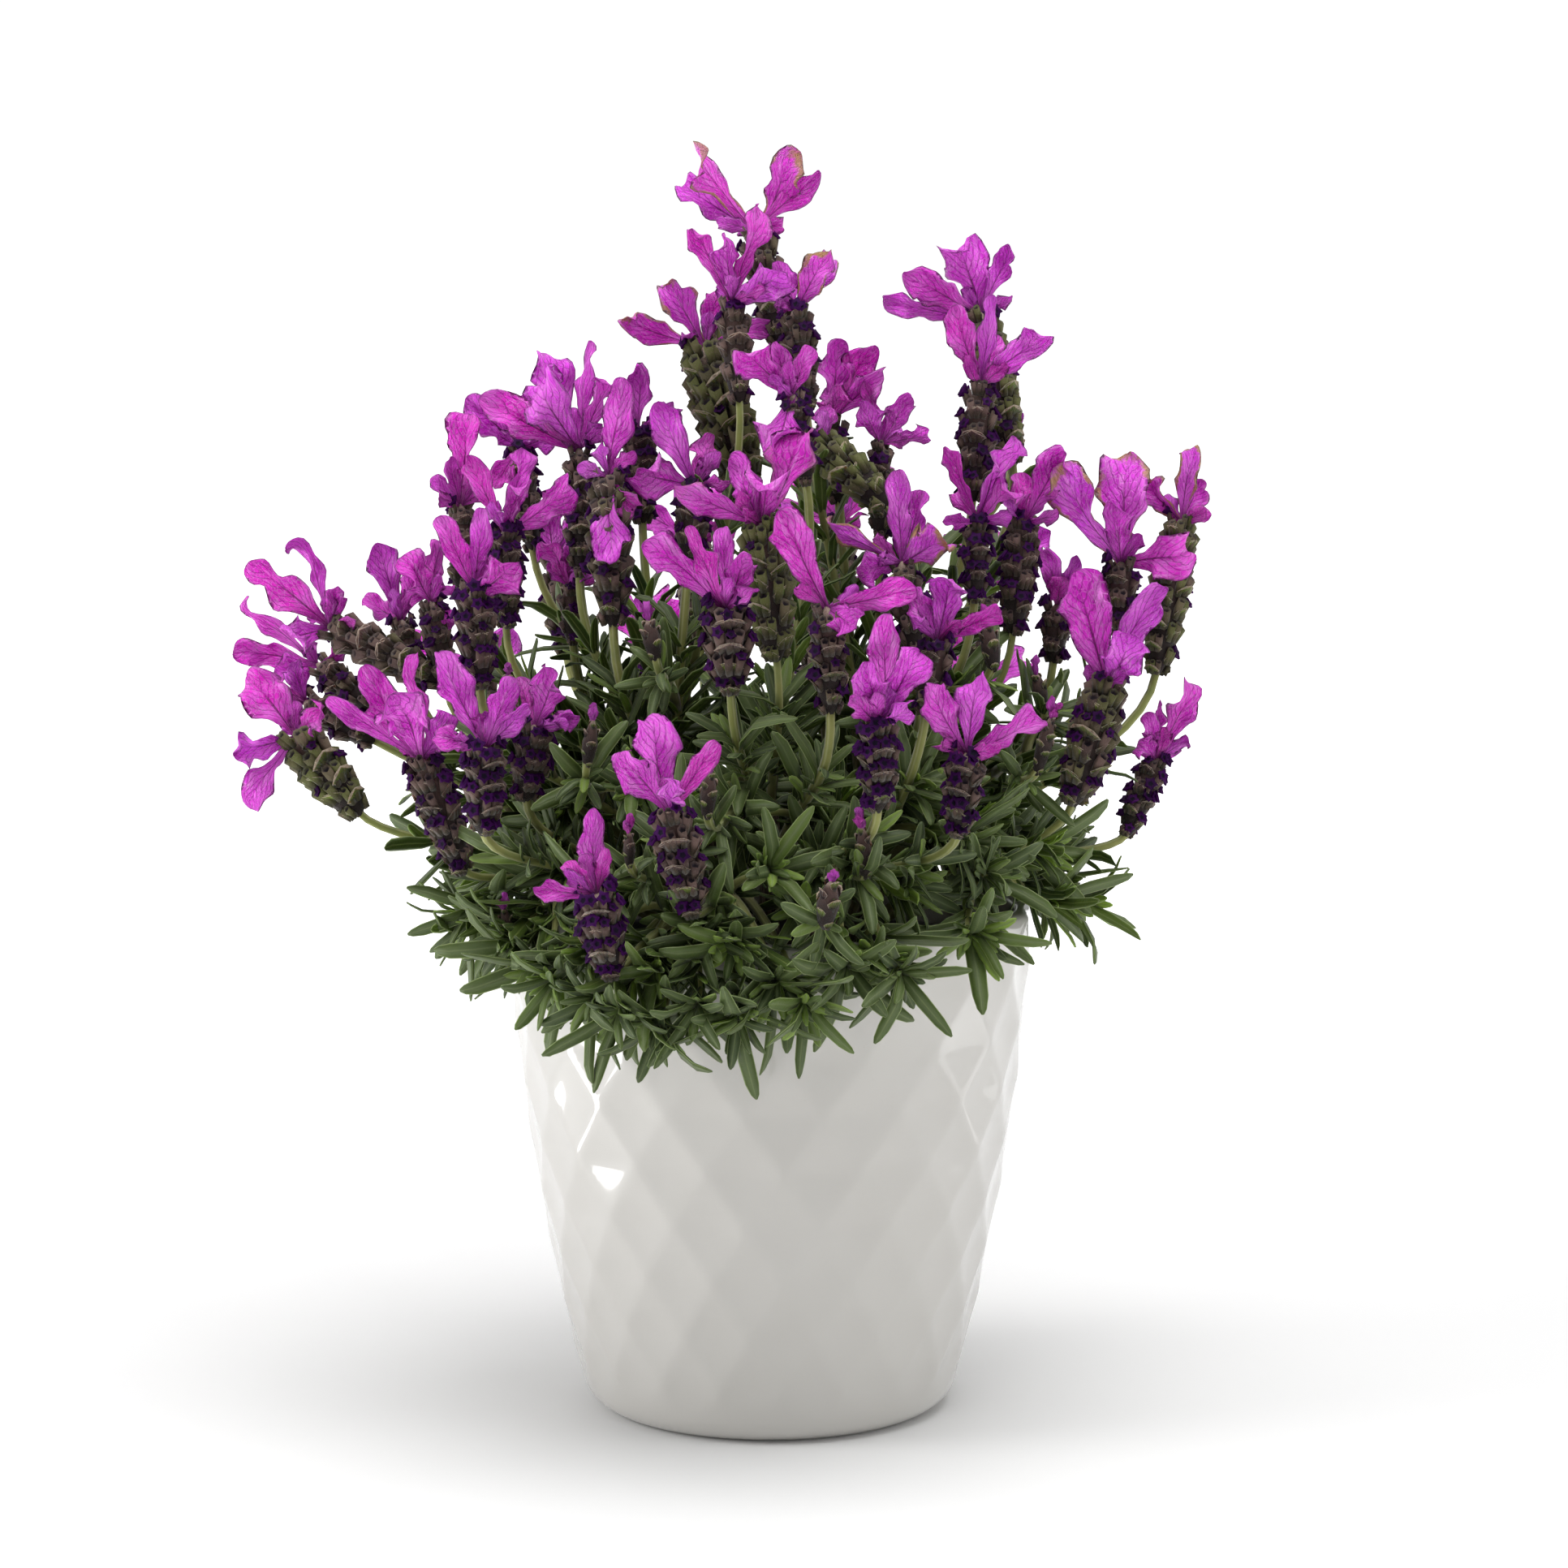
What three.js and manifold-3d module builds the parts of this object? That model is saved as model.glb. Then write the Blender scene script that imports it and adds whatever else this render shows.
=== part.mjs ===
// A Spanish lavender in flower, in its black growing pot inside a white faceted cover pot.
// Millimetres, +Z up. The origin is the middle of the cover pot's flat underside, and the plant's best
// side faces -Y.

import * as THREE from "three";
import { mergeVertices } from "three/addons/utils/BufferGeometryUtils.js";
import Module from "manifold-3d";

const wasm = await Module();
wasm.setup();

// Clear space kept between two pieces that lie against each other
const SEAT = 0.3;

// Cover pot: a wall of tall diamonds in staggered rows; its outside radius swells gently with height
const COVER = { height: 140, foot: 50.4, flare: 0.268, bow: -0.00079, sides: 20, rows: 9, wall: 5, floor: 6 };
const COVER_FIRST_CORNER = -95.6;

// Growing pot: thin tapered plastic with a turned-out lip
const INNER = { bottom: 6.3, height: 121, foot: 42.5, top: 59.5, wall: 1.2, lip: 2.6, lipHeight: 6, sides: 20 };

// Soil: fills the growing pot to a little below its lip
const SOIL = { drop: 9, dome: 2.5, rings: [0.42, 0.8], roughness: 1.6 };

// Woody stems: one for each side of the plant, each standing in a hole of its own
const STEM = { count: 5, ring: 13, reach: 30, bottom: 92, top: 172, thick: 3.3, thin: 2.4, sides: 5 };
const STEM_FIRST_TURN = -90;

// Flower stalks leave their woody stem between these shares of its length, the lowest first. Buds and
// leafy shoots leave the nearest flower stalk, somewhere between the shares given for them.
const ROOTS = { low: 0.42, high: 0.97, sideLow: 0.22, sideHigh: 0.5, leastReach: 15 };

// Flower stalks and leafy shoots: square in section, narrow for the last bit below a spike
const STALK = { radius: 1.5, sides: 4, steps: 3, free: 0.2, neck: 3 };

// Flower spikes: scales in staggered whorls, swelling from the foot and drawn in at the tip
const SPIKE = { sides: 6, swell: [0.56, 0.88, 0.94, 0.9, 0.58], relief: 0.15, lift: 0.3 };
const BUD = { sides: 5, swell: [0.6, 1, 0.45], relief: 0.12, lift: 0.3 };

// Bracts: the violet blades of a tuft, standing in a small knob at the tip of the spike
const KNOB = { height: 5.5, foot: 2.2, sides: 3 };
const BRACT = { rows: [0.34, 0.66, 0.92], outline: [0.66, 1, 0.62], thickness: 0.9 };
const LESSER_BRACT = { rows: [0.4, 0.82], outline: [0.85, 0.9], thickness: 0.9 };
const TUFT = { broad: 2, most: 4 };

// Leaves: narrow, blunt blades with a keel under the midrib
const LEAF = { rows: [0.4, 0.8], outline: [0.9, 1], length: 25, width: 5, thickness: 0.9 };

// Open spikes seen on the plant: the tip and the foot of each, its radius, and its bracts.
// A bract is [degrees from upright as seen from the front, lean toward the front, length, width].
const BLOOMS = [
  { name: "crown_1", tip: [-4, 12, 324], foot: [3, 10, 292], radius: 5.2,
    bracts: [[-35, 0.2, 27, 8], [24, 0.1, 23, 10], [-59, -0.2, 24, 8], [48, -0.3, 22, 7]] },
  { name: "crown_2", tip: [-10, -7, 305], foot: [-8, -10, 277], radius: 4.6,
    bracts: [[-26, 0.2, 23, 5.5], [60, 0.4, 18, 10], [-5, 0.4, 18, 8], [18, 0.1, 25, 7]] },
  { name: "crown_3", tip: [7, -8, 303], foot: [10, -6, 275], radius: 4.8,
    bracts: [[29, 0.2, 17, 8], [34, -0.5, 19, 5], [-20, -0.6, 14, 7], [-50, 0.6, 8, 5]] },
  { name: "crown_4", tip: [-18, 14, 292], foot: [-6, 16, 250], radius: 8,
    bracts: [[-70, 0.1, 26, 7], [-28, 0.3, 21, 8.5], [72, 0.3, 21, 6], [14, -0.3, 17, 7]] },
  { name: "crown_5", tip: [6, -28, 281], foot: [10, -25, 256], radius: 4,
    bracts: [[-46, 0.3, 19, 9.5], [200, 0.7, 18, 11], [-18, -0.2, 14, 6], [22, 0.1, 13, 6]] },
  { name: "crown_6", tip: [17, 4, 273], foot: [19, 3, 249], radius: 4.4,
    bracts: [[7, -0.2, 21, 9], [25, -0.4, 22, 8], [45, 0.3, 18, 7], [0, 0.9, 11, 9]] },
  { name: "crown_7", tip: [30, -6, 267], foot: [30, -7, 240], radius: 3.8,
    bracts: [[-23, 0.3, 12, 7], [30, 0.1, 15, 6], [78, 0.2, 14, 5], [-12, -0.5, 17, 4]] },
  { name: "crown_8", tip: [13, -12, 267], foot: [32, -16, 250], radius: 6,
    bracts: [[-50, -0.4, 14, 8], [-80, 0.3, 12, 7], [10, 0.2, 10, 6]] },
  { name: "peak_1", tip: [58, 20, 301], foot: [67, 17, 259], radius: 5.8,
    bracts: [[-19, 0.1, 20, 12], [-60, 0.2, 23, 9], [-81, -0.1, 25, 6.5], [25, -0.1, 20, 6]] },
  { name: "peak_2", tip: [57, -2, 282], foot: [55, -4, 250], radius: 5,
    bracts: [[-15, 0.2, 22, 8], [50, 0.1, 23, 9], [8, 0.3, 23, 5], [20, -0.6, 15, 7]] },
  { name: "centre_1", tip: [-2, -44, 248], foot: [2, -42, 211], radius: 6.6,
    bracts: [[-66, 0.2, 23, 7], [22, -0.1, 26, 10], [-18, -0.3, 18, 8], [2, 0.5, 14, 9]] },
  { name: "centre_2", tip: [-11, -61, 227], foot: [-10, -57, 204], radius: 6.4,
    bracts: [[-46, 0.1, 27, 9], [-19, 0.2, 23, 6], [18, 0.1, 17, 7], [-4, -0.3, 21, 5]] },
  { name: "centre_3", tip: [15, -66, 228], foot: [16, -61, 199], radius: 4.9,
    bracts: [[-26, 0.1, 26, 10], [77, 0.2, 22, 8], [-22, -0.4, 27, 6], [120, 0.9, 10, 9]] },
  { name: "centre_4", tip: [-20, -16, 256], foot: [-22, -17, 233], radius: 4.6,
    bracts: [[-24, 0.1, 23, 8], [-75, 0.2, 17, 11], [20, -0.5, 15, 7]] },
  { name: "left_1", tip: [-52, 4, 265], foot: [-52, 2, 229], radius: 4.4,
    bracts: [[-62, 0.2, 28, 9.5], [-28, 0.3, 24, 13], [-19, -0.4, 29, 9], [23, 0.1, 22, 7], [3, -0.3, 28, 5]] },
  { name: "left_2", tip: [-70, 28, 264], foot: [-66, 25, 234], radius: 4,
    bracts: [[-46, 0, 18, 9], [-150, 0.3, 13, 6], [5, -0.5, 14, 6], [70, 0.2, 9, 7]] },
  { name: "left_3", tip: [-36, 12, 270], foot: [-35, 10, 243], radius: 4.6,
    bracts: [[-2, 0.1, 18, 8], [-25, -0.4, 14, 6], [60, -0.3, 12, 5]] },
  { name: "left_4", tip: [-43, -20, 259], foot: [-42, -22, 218], radius: 6,
    bracts: [[10, -0.1, 24, 8.5], [178, 0.5, 23, 9], [141, 0.3, 11, 6]] },
  { name: "left_5", tip: [-85, 10, 249], foot: [-85, 8, 225], radius: 4.2,
    bracts: [[4, 0.1, 23, 9], [-10, 0.5, 15, 4.5], [59, -0.2, 9, 5]] },
  { name: "left_6", tip: [-71, -18, 244], foot: [-71, -18, 217], radius: 4.6,
    bracts: [[-27, -0.1, 21, 6], [10, -0.3, 21, 7], [55, 0.1, 21, 9], [22, 0.5, 17, 6]] },
  { name: "left_7", tip: [-78, -40, 230], foot: [-77, -38, 203], radius: 5.3,
    bracts: [[-25, 0.1, 20, 7], [6, -0.1, 20, 6], [56, 0.3, 14, 10]] },
  { name: "left_8", tip: [-102, 12, 217], foot: [-97, 9, 196], radius: 4,
    bracts: [[-16, 0, 22, 8], [20, -0.5, 16, 7], [-60, -0.4, 12, 6]] },
  { name: "left_9", tip: [-92, -8, 224], foot: [-88, -9, 200], radius: 4,
    bracts: [[8, -0.2, 16, 6], [-26, 0.3, 14, 9], [138, 0.3, 8, 5]] },
  { name: "left_10", tip: [-55, 6, 227], foot: [-54, 6, 210], radius: 3.6,
    bracts: [[-27, 0.3, 15, 7], [9, 0.2, 13, 6], [40, 0.6, 9, 5]] },
  { name: "far_left_1", tip: [-120, -6, 217], foot: [-89, -8, 202], radius: 5.6,
    bracts: [[-50, 0.1, 26, 10], [-22, -0.1, 27, 5], [10, 0.2, 12, 6], [-100, 0.6, 14, 9]] },
  { name: "far_left_2", tip: [-126, 18, 204], foot: [-108, 16, 190], radius: 4.4,
    bracts: [[-54, -0.1, 28, 5], [-79, 0.1, 24, 8], [-100, 0.5, 12, 8]] },
  { name: "far_left_3", tip: [-129, -14, 188], foot: [-111, -14, 166], radius: 6.6,
    bracts: [[-36, -0.1, 20, 12], [56, 0.5, 13, 9], [-95, 0.3, 17, 9], [215, 0.2, 22, 7]] },
  { name: "far_left_4", tip: [-128, 4, 195], foot: [-108, 3, 184], radius: 4.8,
    bracts: [[-17, 0.2, 12, 6], [-61, -0.2, 10, 6], [-90, -0.5, 12, 6]] },
  { name: "low_left_1", tip: [-92, -46, 186], foot: [-81, -41, 154], radius: 5.4,
    bracts: [[-30, 0.1, 27, 9], [-19, 0.6, 22, 13], [-57, 0.2, 27, 5], [33, 0.2, 15, 9], [-9, -0.3, 28, 6]] },
  { name: "low_left_2", tip: [-74, -62, 191], foot: [-75, -58, 167], radius: 5.4,
    bracts: [[-27, -0.2, 25, 9], [21, 0.1, 19, 7], [43, 0.3, 15, 6], [-70, 0.5, 13, 6]] },
  { name: "low_left_3", tip: [-62, -40, 194], foot: [-65, -38, 173], radius: 5,
    bracts: [[20, 0.1, 16, 10], [69, 0.2, 12, 5], [-20, -0.5, 14, 7]] },
  { name: "far_right_1", tip: [95, -10, 235], foot: [96, -9, 213], radius: 4.8,
    bracts: [[-35, 0.1, 29, 11], [3, -0.1, 28, 13], [83, 0.2, 18, 11], [-8, 0.5, 18, 8]] },
  { name: "far_right_2", tip: [113, 8, 245], foot: [106, 4, 202], radius: 5.6,
    bracts: [[7, 0.1, 20, 6.5], [-40, -0.3, 15, 8], [30, -0.5, 13, 7]] },
  { name: "far_right_3", tip: [79, 6, 222], foot: [78, 6, 205], radius: 4.2,
    bracts: [[-14, 0.1, 16, 5.5], [20, 0.2, 15, 4], [5, 0.7, 9, 6]] },
  { name: "far_right_4", tip: [90, -34, 204], foot: [81, -32, 171], radius: 6.6,
    bracts: [[-17, 0.1, 30, 14], [28, -0.2, 31, 8], [23, 0.5, 16, 12]] },
  { name: "far_right_5", tip: [107, 8, 179], foot: [98, 4, 157], radius: 4,
    bracts: [[26, 0.1, 23, 8], [4, -0.2, 15, 4], [-12, 0.3, 13, 5], [-40, 0.6, 9, 7]] },
  { name: "right_1", tip: [56, -20, 247], foot: [55, -21, 224], radius: 4,
    bracts: [[-20, 0.1, 21, 5], [19, 0.2, 23, 10], [42, 0.5, 15, 6], [-90, 0.2, 9, 4]] },
  { name: "right_2", tip: [69, -6, 246], foot: [66, -8, 214], radius: 4.8,
    bracts: [[28, 0.1, 21, 9.5], [-31, 0.5, 10, 7], [0, -0.7, 14, 7]] },
  { name: "right_3", tip: [35, -34, 237], foot: [40, -34, 208], radius: 4.8,
    bracts: [[-63, 0.1, 24, 5], [54, 0.5, 14, 11], [-4, -0.2, 22, 7], [18, -0.4, 19, 7], [-95, 0.5, 12, 8]] },
  { name: "right_4", tip: [44, -52, 218], foot: [41, -51, 197], radius: 4.6,
    bracts: [[13, 0.1, 19, 10], [63, 0.2, 19, 6], [-25, -0.4, 14, 7]] },
  { name: "right_5", tip: [28, -84, 200], foot: [28, -79, 176], radius: 5,
    bracts: [[3, -0.2, 26, 8], [27, 0.1, 20, 9], [-12, 0.4, 16, 8], [-40, 0.3, 11, 6], [54, 0.4, 10, 6]] },
  { name: "right_6", tip: [51, -74, 191], foot: [49, -70, 168], radius: 4.9,
    bracts: [[-28, 0.1, 20, 8], [9, -0.1, 21, 8], [62, 0.2, 21, 8]] },
  { name: "front_1", tip: [-25, -92, 178], foot: [-19, -87, 150], radius: 5.8,
    bracts: [[-42, 0.1, 19, 9], [-9, -0.2, 24, 10], [12, 0.7, 12, 8], [32, 0.1, 20, 6]] },
  { name: "front_2", tip: [-44, -92, 157], foot: [-40, -88, 134], radius: 5.8,
    bracts: [[-3, -0.1, 20, 6.5], [12, 0.3, 12, 4], [-81, 0.1, 15, 5], [-40, 0.2, 11, 5]] },
  { name: "back_1", tip: [-62, 58, 230], foot: [-58, 53, 202], radius: 4.8,
    bracts: [[-30, -0.5, 22, 9], [35, -0.6, 20, 8], [-5, 0.5, 17, 8], [70, -0.2, 19, 7]] },
  { name: "back_2", tip: [-22, 72, 234], foot: [-20, 66, 202], radius: 5.4,
    bracts: [[-60, -0.4, 22, 8], [15, -0.7, 23, 9], [-10, 0.4, 18, 7], [55, 0.1, 18, 7]] },
  { name: "back_3", tip: [20, 66, 240], foot: [18, 60, 208], radius: 5.2,
    bracts: [[-35, -0.3, 20, 9], [40, -0.5, 24, 8], [5, 0.5, 16, 8], [-75, 0.1, 17, 6]] },
  { name: "back_4", tip: [62, 58, 222], foot: [57, 53, 193], radius: 4.8,
    bracts: [[-25, -0.5, 22, 8], [50, -0.3, 23, 9], [10, 0.4, 17, 7]] },
  { name: "back_5", tip: [-86, 72, 196], foot: [-77, 65, 169], radius: 5,
    bracts: [[-55, -0.3, 22, 9], [0, -0.6, 21, 8], [40, 0.2, 17, 8]] },
  { name: "back_6", tip: [-36, 98, 200], foot: [-32, 90, 172], radius: 5.2,
    bracts: [[-40, -0.5, 22, 9], [25, -0.6, 21, 9], [-10, 0.4, 17, 7], [70, -0.1, 18, 7]] },
  { name: "back_7", tip: [14, 100, 206], foot: [12, 92, 177], radius: 5,
    bracts: [[-20, -0.7, 22, 8], [45, -0.4, 21, 9], [-65, -0.1, 19, 7], [5, 0.5, 16, 8]] },
  { name: "back_8", tip: [60, 90, 186], foot: [54, 82, 158], radius: 5,
    bracts: [[-15, -0.5, 21, 9], [50, -0.5, 23, 8], [-60, 0.1, 18, 7]] },
];

// Small spikes still in bud: tip, foot and radius
const BUDS = [
  [[-70, -30, 206], [-68, -30, 194], 3.6],
  [[-15, -80, 187], [-16, -78, 174], 3],
  [[58, -31, 220], [60, -31, 207], 3.6],
  [[-32, -40, 222], [-30, -40, 211], 3.4],
  [[72, -16, 205], [74, -16, 195], 3],
  [[-46, -54, 197], [-48, -52, 184], 2.8],
  [[75, -38, 196], [71, -37, 180], 3],
  [[24, -77, 172], [25, -75, 158], 3],
  [[16, -102, 162], [14, -99, 149], 4],
  [[-36, -78, 171], [-36, -76, 161], 2.2],
  [[-70, -52, 147], [-69, -51, 138], 2.2],
  [[70, 36, 270], [68, 34, 258], 2.6],
  [[-98, 40, 176], [-92, 38, 165], 2.6],
  [[94, 42, 190], [89, 40, 178], 2.8],
  [[-10, 112, 168], [-9, 106, 156], 2.6],
];

// Leafy shoots that spill over the front of the rim, their leaves spread like stars: where each one ends
const FRONT_SHOOTS = [
  [-38, -85, 126], [-18, -88, 128], [9, -87, 128], [34, -82, 135], [-55, -70, 131],
  [57, -62, 140], [78, -30, 140], [-82, -24, 138], [-68, -48, 140],
];
const FRONT_DIP = -12;
const FILL_RISE = 45;

// Other leafy shoots fill the sides and back of the bush, from the rim inward and up. Their directions
// step round by the golden section of the fan between the two turns, given in degrees.
const FILL_SHOOTS = { count: 8, fromTurn: -12, toTurn: 192, outer: 90, inner: 40, low: 140, high: 186 };

// Shoots that end near the rim first rise clear of it, unless their root is above it already: the end
// height where that starts, how steeply it grows, and the root heights between which it fades out
const RIM_CARE = { below: 178, rise: 0.72, arch: 6, lowRoot: 130, highRoot: 155 };

const vector = (x, y, z) => new THREE.Vector3(x, y, z);
const vectorFrom = (list) => new THREE.Vector3(...list);
const around = (degrees, radius, z) => {
  const turn = THREE.MathUtils.degToRad(degrees);
  return vector(radius * Math.cos(turn), radius * Math.sin(turn), z);
};
const mix = (a, b, share) => a.clone().lerp(b, share);

// A repeatable number from 0 to 1 for each place in the plant, and one spread to both sides of zero
const chance = (place) => {
  const wide = Math.sin(place * 12.9898) * 43758.5453;
  return wide - Math.floor(wide);
};
const spread = (place, reach) => (2 * chance(place) - 1) * reach;

// A closed solid from points and triangles, turned to face outward
function solid(points, faces) {
  let volume = 0;
  for (const [a, b, c] of faces) {
    volume += points[a].dot(points[b].clone().cross(points[c]));
  }
  const outward = volume > 0 ? faces : faces.map(([a, b, c]) => [a, c, b]);
  const vertProperties = new Float32Array(points.flatMap((p) => [p.x, p.y, p.z]));
  const triVerts = new Uint32Array(outward.flat());
  return new wasm.Manifold(new wasm.Mesh({ numProp: 3, vertProperties, triVerts }));
}

// Triangles between two rings: a fan from a lone point, folded squares between equal rings, and
// otherwise a zigzag that takes whichever ring's next point comes first on the way round
function band(low, high, lowStart, highStart, ridge) {
  const faces = [];
  const lowSides = low > 1 ? low : 0;
  const highSides = high > 1 ? high : 0;
  let j = 0;
  let k = 0;
  while (j < lowSides || k < highSides) {
    const ahead = (j + 1) / low - (k + 1) / high;
    const alongLow = k === highSides || (j < lowSides && (ahead < 0 || (ahead === 0 && !ridge(j))));
    const a = lowStart + (j % low);
    const b = highStart + (k % high);
    if (alongLow) {
      faces.push([a, lowStart + ((j + 1) % low), b]);
      j += 1;
    } else {
      faces.push([a, highStart + ((k + 1) % high), b]);
      k += 1;
    }
  }
  return faces;
}

// A closed skin over rings of points. A lone point closes an end to a tip, a full ring closes it flat.
// `ridge(ring, side)` says which way a four-cornered face folds.
function skin(rings, ridge = () => false) {
  const faces = [];
  let start = 0;
  for (let k = 0; k + 1 < rings.length; k += 1) {
    const next = start + rings[k].length;
    faces.push(...band(rings[k].length, rings[k + 1].length, start, next, (side) => ridge(k, side)));
    start = next;
  }
  for (let j = 1; j + 1 < rings[0].length; j += 1) {
    faces.push([0, j + 1, j]);
  }
  for (let j = 1; j + 1 < rings.at(-1).length; j += 1) {
    faces.push([start, start + j, start + j + 1]);
  }
  return solid(rings.flat(), faces);
}

// The fold that makes a face bulge out, for rings of equal size: it keeps a thin twisted skin from
// crossing itself
function outwardFold(rings) {
  const middle = (points) => (
    points.reduce((sum, point) => sum.add(point), vector(0, 0, 0)).divideScalar(points.length)
  );
  return (k, j) => {
    const [low, high] = [rings[k], rings[k + 1]];
    const next = (j + 1) % low.length;
    const risen = high[next].clone().add(low[j]);
    const fallen = high[j].clone().add(low[next]);
    const square = high[next].clone().sub(low[j]).cross(high[j].clone().sub(low[next]));
    const outward = risen.clone().add(fallen).divideScalar(4).sub(middle([...low, ...high]));
    return risen.sub(fallen).dot(square) * outward.dot(square) > 0;
  };
}

// A closed solid from one of the library's closed shapes
function solidOf(geometry) {
  const bare = geometry.clone();
  bare.deleteAttribute("normal");
  bare.deleteAttribute("uv");
  const merged = mergeVertices(bare, 1e-4);
  const place = merged.attributes.position;
  const points = [];
  for (let i = 0; i < place.count; i += 1) {
    points.push(new THREE.Vector3().fromBufferAttribute(place, i));
  }
  const faces = [];
  for (let i = 0; i < merged.index.count; i += 3) {
    const [a, b, c] = [0, 1, 2].map((corner) => merged.index.getX(i + corner));
    if (a !== b && b !== c && c !== a) {
      faces.push([a, b, c]);
    }
  }
  return solid(points, faces);
}

// Pieces grown together: one body, with any hollow sealed inside it filled and loose scraps dropped
function grownTogether(pieces) {
  const bodies = wasm.Manifold.union(pieces).decompose();
  bodies.sort((a, b) => b.volume() - a.volume());
  return bodies[0];
}

// Whether two solids share any space
function meet(first, second) {
  const a = first.box;
  const b = second.box;
  for (let axis = 0; axis < 3; axis += 1) {
    if (a.max[axis] < b.min[axis] || b.max[axis] < a.min[axis]) {
      return false;
    }
  }
  return !first.solid.intersect(second.solid).isEmpty();
}

const boxed = (body) => ({ solid: body, box: body.boundingBox() });

// The first of several tries that stays clear of its rivals; none if they all meet something
function firstClear(tries, make, rivals) {
  for (const way of tries) {
    const test = boxed(make(way, SEAT));
    if (!rivals.some((rival) => meet(test, rival))) {
      return make(way, 0);
    }
  }
  return null;
}

// Two directions square to `heading`, for the rings of a spike or stem
function crossAxes(heading) {
  const side = vector(0, 1, 0).cross(heading).normalize();
  return [side, heading.clone().cross(side)];
}

// A ring of points about a centre; `radiusOf` and `liftOf` shape it side by side
function ringAbout(centre, heading, sides, radiusOf, liftOf = () => 0, [side, up] = crossAxes(heading)) {
  return Array.from({ length: sides }, (_, j) => {
    const turn = (2 * Math.PI * j) / sides;
    return centre.clone()
      .addScaledVector(side, radiusOf(j) * Math.cos(turn))
      .addScaledVector(up, radiusOf(j) * Math.sin(turn))
      .addScaledVector(heading, liftOf(j));
  });
}

// A flat ring of the cover pot; every other row is turned by half a side
function coverRing(radius, z, row) {
  const step = 360 / COVER.sides;
  return Array.from({ length: COVER.sides }, (_, j) => (
    around(COVER_FIRST_CORNER + step * (j + (row % 2) / 2), radius, z)
  ));
}

const coverRadius = (z) => COVER.foot + COVER.flare * z + COVER.bow * z * z;

// The cover pot: diamond rows outside, a plain tapered wall and floor inside
function coverPot() {
  const rows = [];
  for (let row = 0; row <= COVER.rows; row += 1) {
    const z = (COVER.height * row) / COVER.rows;
    rows.push(coverRing(coverRadius(z), z, row));
  }
  rows.push(coverRing(coverRadius(COVER.height) - COVER.wall, COVER.height, COVER.rows));
  rows.push(coverRing(coverRadius(COVER.floor) - COVER.wall, COVER.floor, COVER.rows));
  return skin(rows, (row) => row % 2 === 1);
}

// Radius of the growing pot's outer wall at a height
const innerRadius = (z) => (
  INNER.foot + ((INNER.top - INNER.foot) * (z - INNER.bottom)) / INNER.height
);

// The growing pot: a turned profile, thin walled, with its lip turned out
function growingPot() {
  const top = INNER.bottom + INNER.height;
  const profile = [
    [0, INNER.bottom],
    [INNER.foot, INNER.bottom],
    [innerRadius(top - INNER.lipHeight), top - INNER.lipHeight],
    [INNER.top + INNER.lip, top - INNER.lipHeight],
    [INNER.top + INNER.lip, top],
    [INNER.top - INNER.wall, top],
    [INNER.foot - INNER.wall, INNER.bottom + INNER.wall],
    [0, INNER.bottom + INNER.wall],
  ].map(([radius, z]) => new THREE.Vector2(radius, z));
  return solidOf(new THREE.LatheGeometry(profile, INNER.sides).rotateX(Math.PI / 2));
}

// The soil: a filled cone with a lumpy top, and a plain hole round each woody stem
function soil() {
  const top = INNER.bottom + INNER.height - SOIL.drop;
  const foot = INNER.bottom + INNER.wall + SEAT;
  const inside = (z) => innerRadius(z) - (INNER.wall + SEAT) * 1.02;
  const ring = (radius, z, rough) => Array.from({ length: INNER.sides }, (_, j) => (
    around((360 * j) / INNER.sides, radius, z + rough * spread(j + 31 * radius, SOIL.roughness))
  ));
  const rings = [ring(inside(foot) - INNER.wall, foot, 0), ring(inside(top), top, 0)];
  for (const share of SOIL.rings.toReversed()) {
    rings.push(ring(share * inside(top), top + SOIL.dome * (1 - share * share), 1));
  }
  rings.push([vector(0, 0, top + SOIL.dome)]);
  let body = skin(rings);
  for (let k = 0; k < STEM.count; k += 1) {
    body = body.subtract(woodyStem(k, SEAT));
  }
  return grownTogether([body]);
}

const stemTurn = (k) => STEM_FIRST_TURN + (360 * k) / STEM.count;

// Centre of woody stem k at a share of its way up, leaning outward
function stemPoint(k, share) {
  const foot = around(stemTurn(k), STEM.ring, STEM.bottom);
  const head = around(stemTurn(k), STEM.reach, STEM.top);
  return mix(foot, head, share);
}

// A woody stem: tapered, five sided; `slack` widens it to make the hole that it stands in
function woodyStem(k, slack) {
  const shares = [0, 0.4, 0.75, 1];
  const rings = shares.map((share) => {
    const centre = stemPoint(k, share);
    centre.z -= share === 0 ? slack : 0;
    const radius = THREE.MathUtils.lerp(STEM.thick, STEM.thin, share) + slack;
    return ringAbout(centre, vector(0, 0, 1), STEM.sides, () => radius);
  });
  return skin(rings);
}

// The woody stem whose side of the plant a point lies on
function stemFor(point) {
  const turn = THREE.MathUtils.radToDeg(Math.atan2(point.y, point.x)) - STEM_FIRST_TURN;
  return (Math.round((turn * STEM.count) / 360) + 2 * STEM.count) % STEM.count;
}

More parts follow.
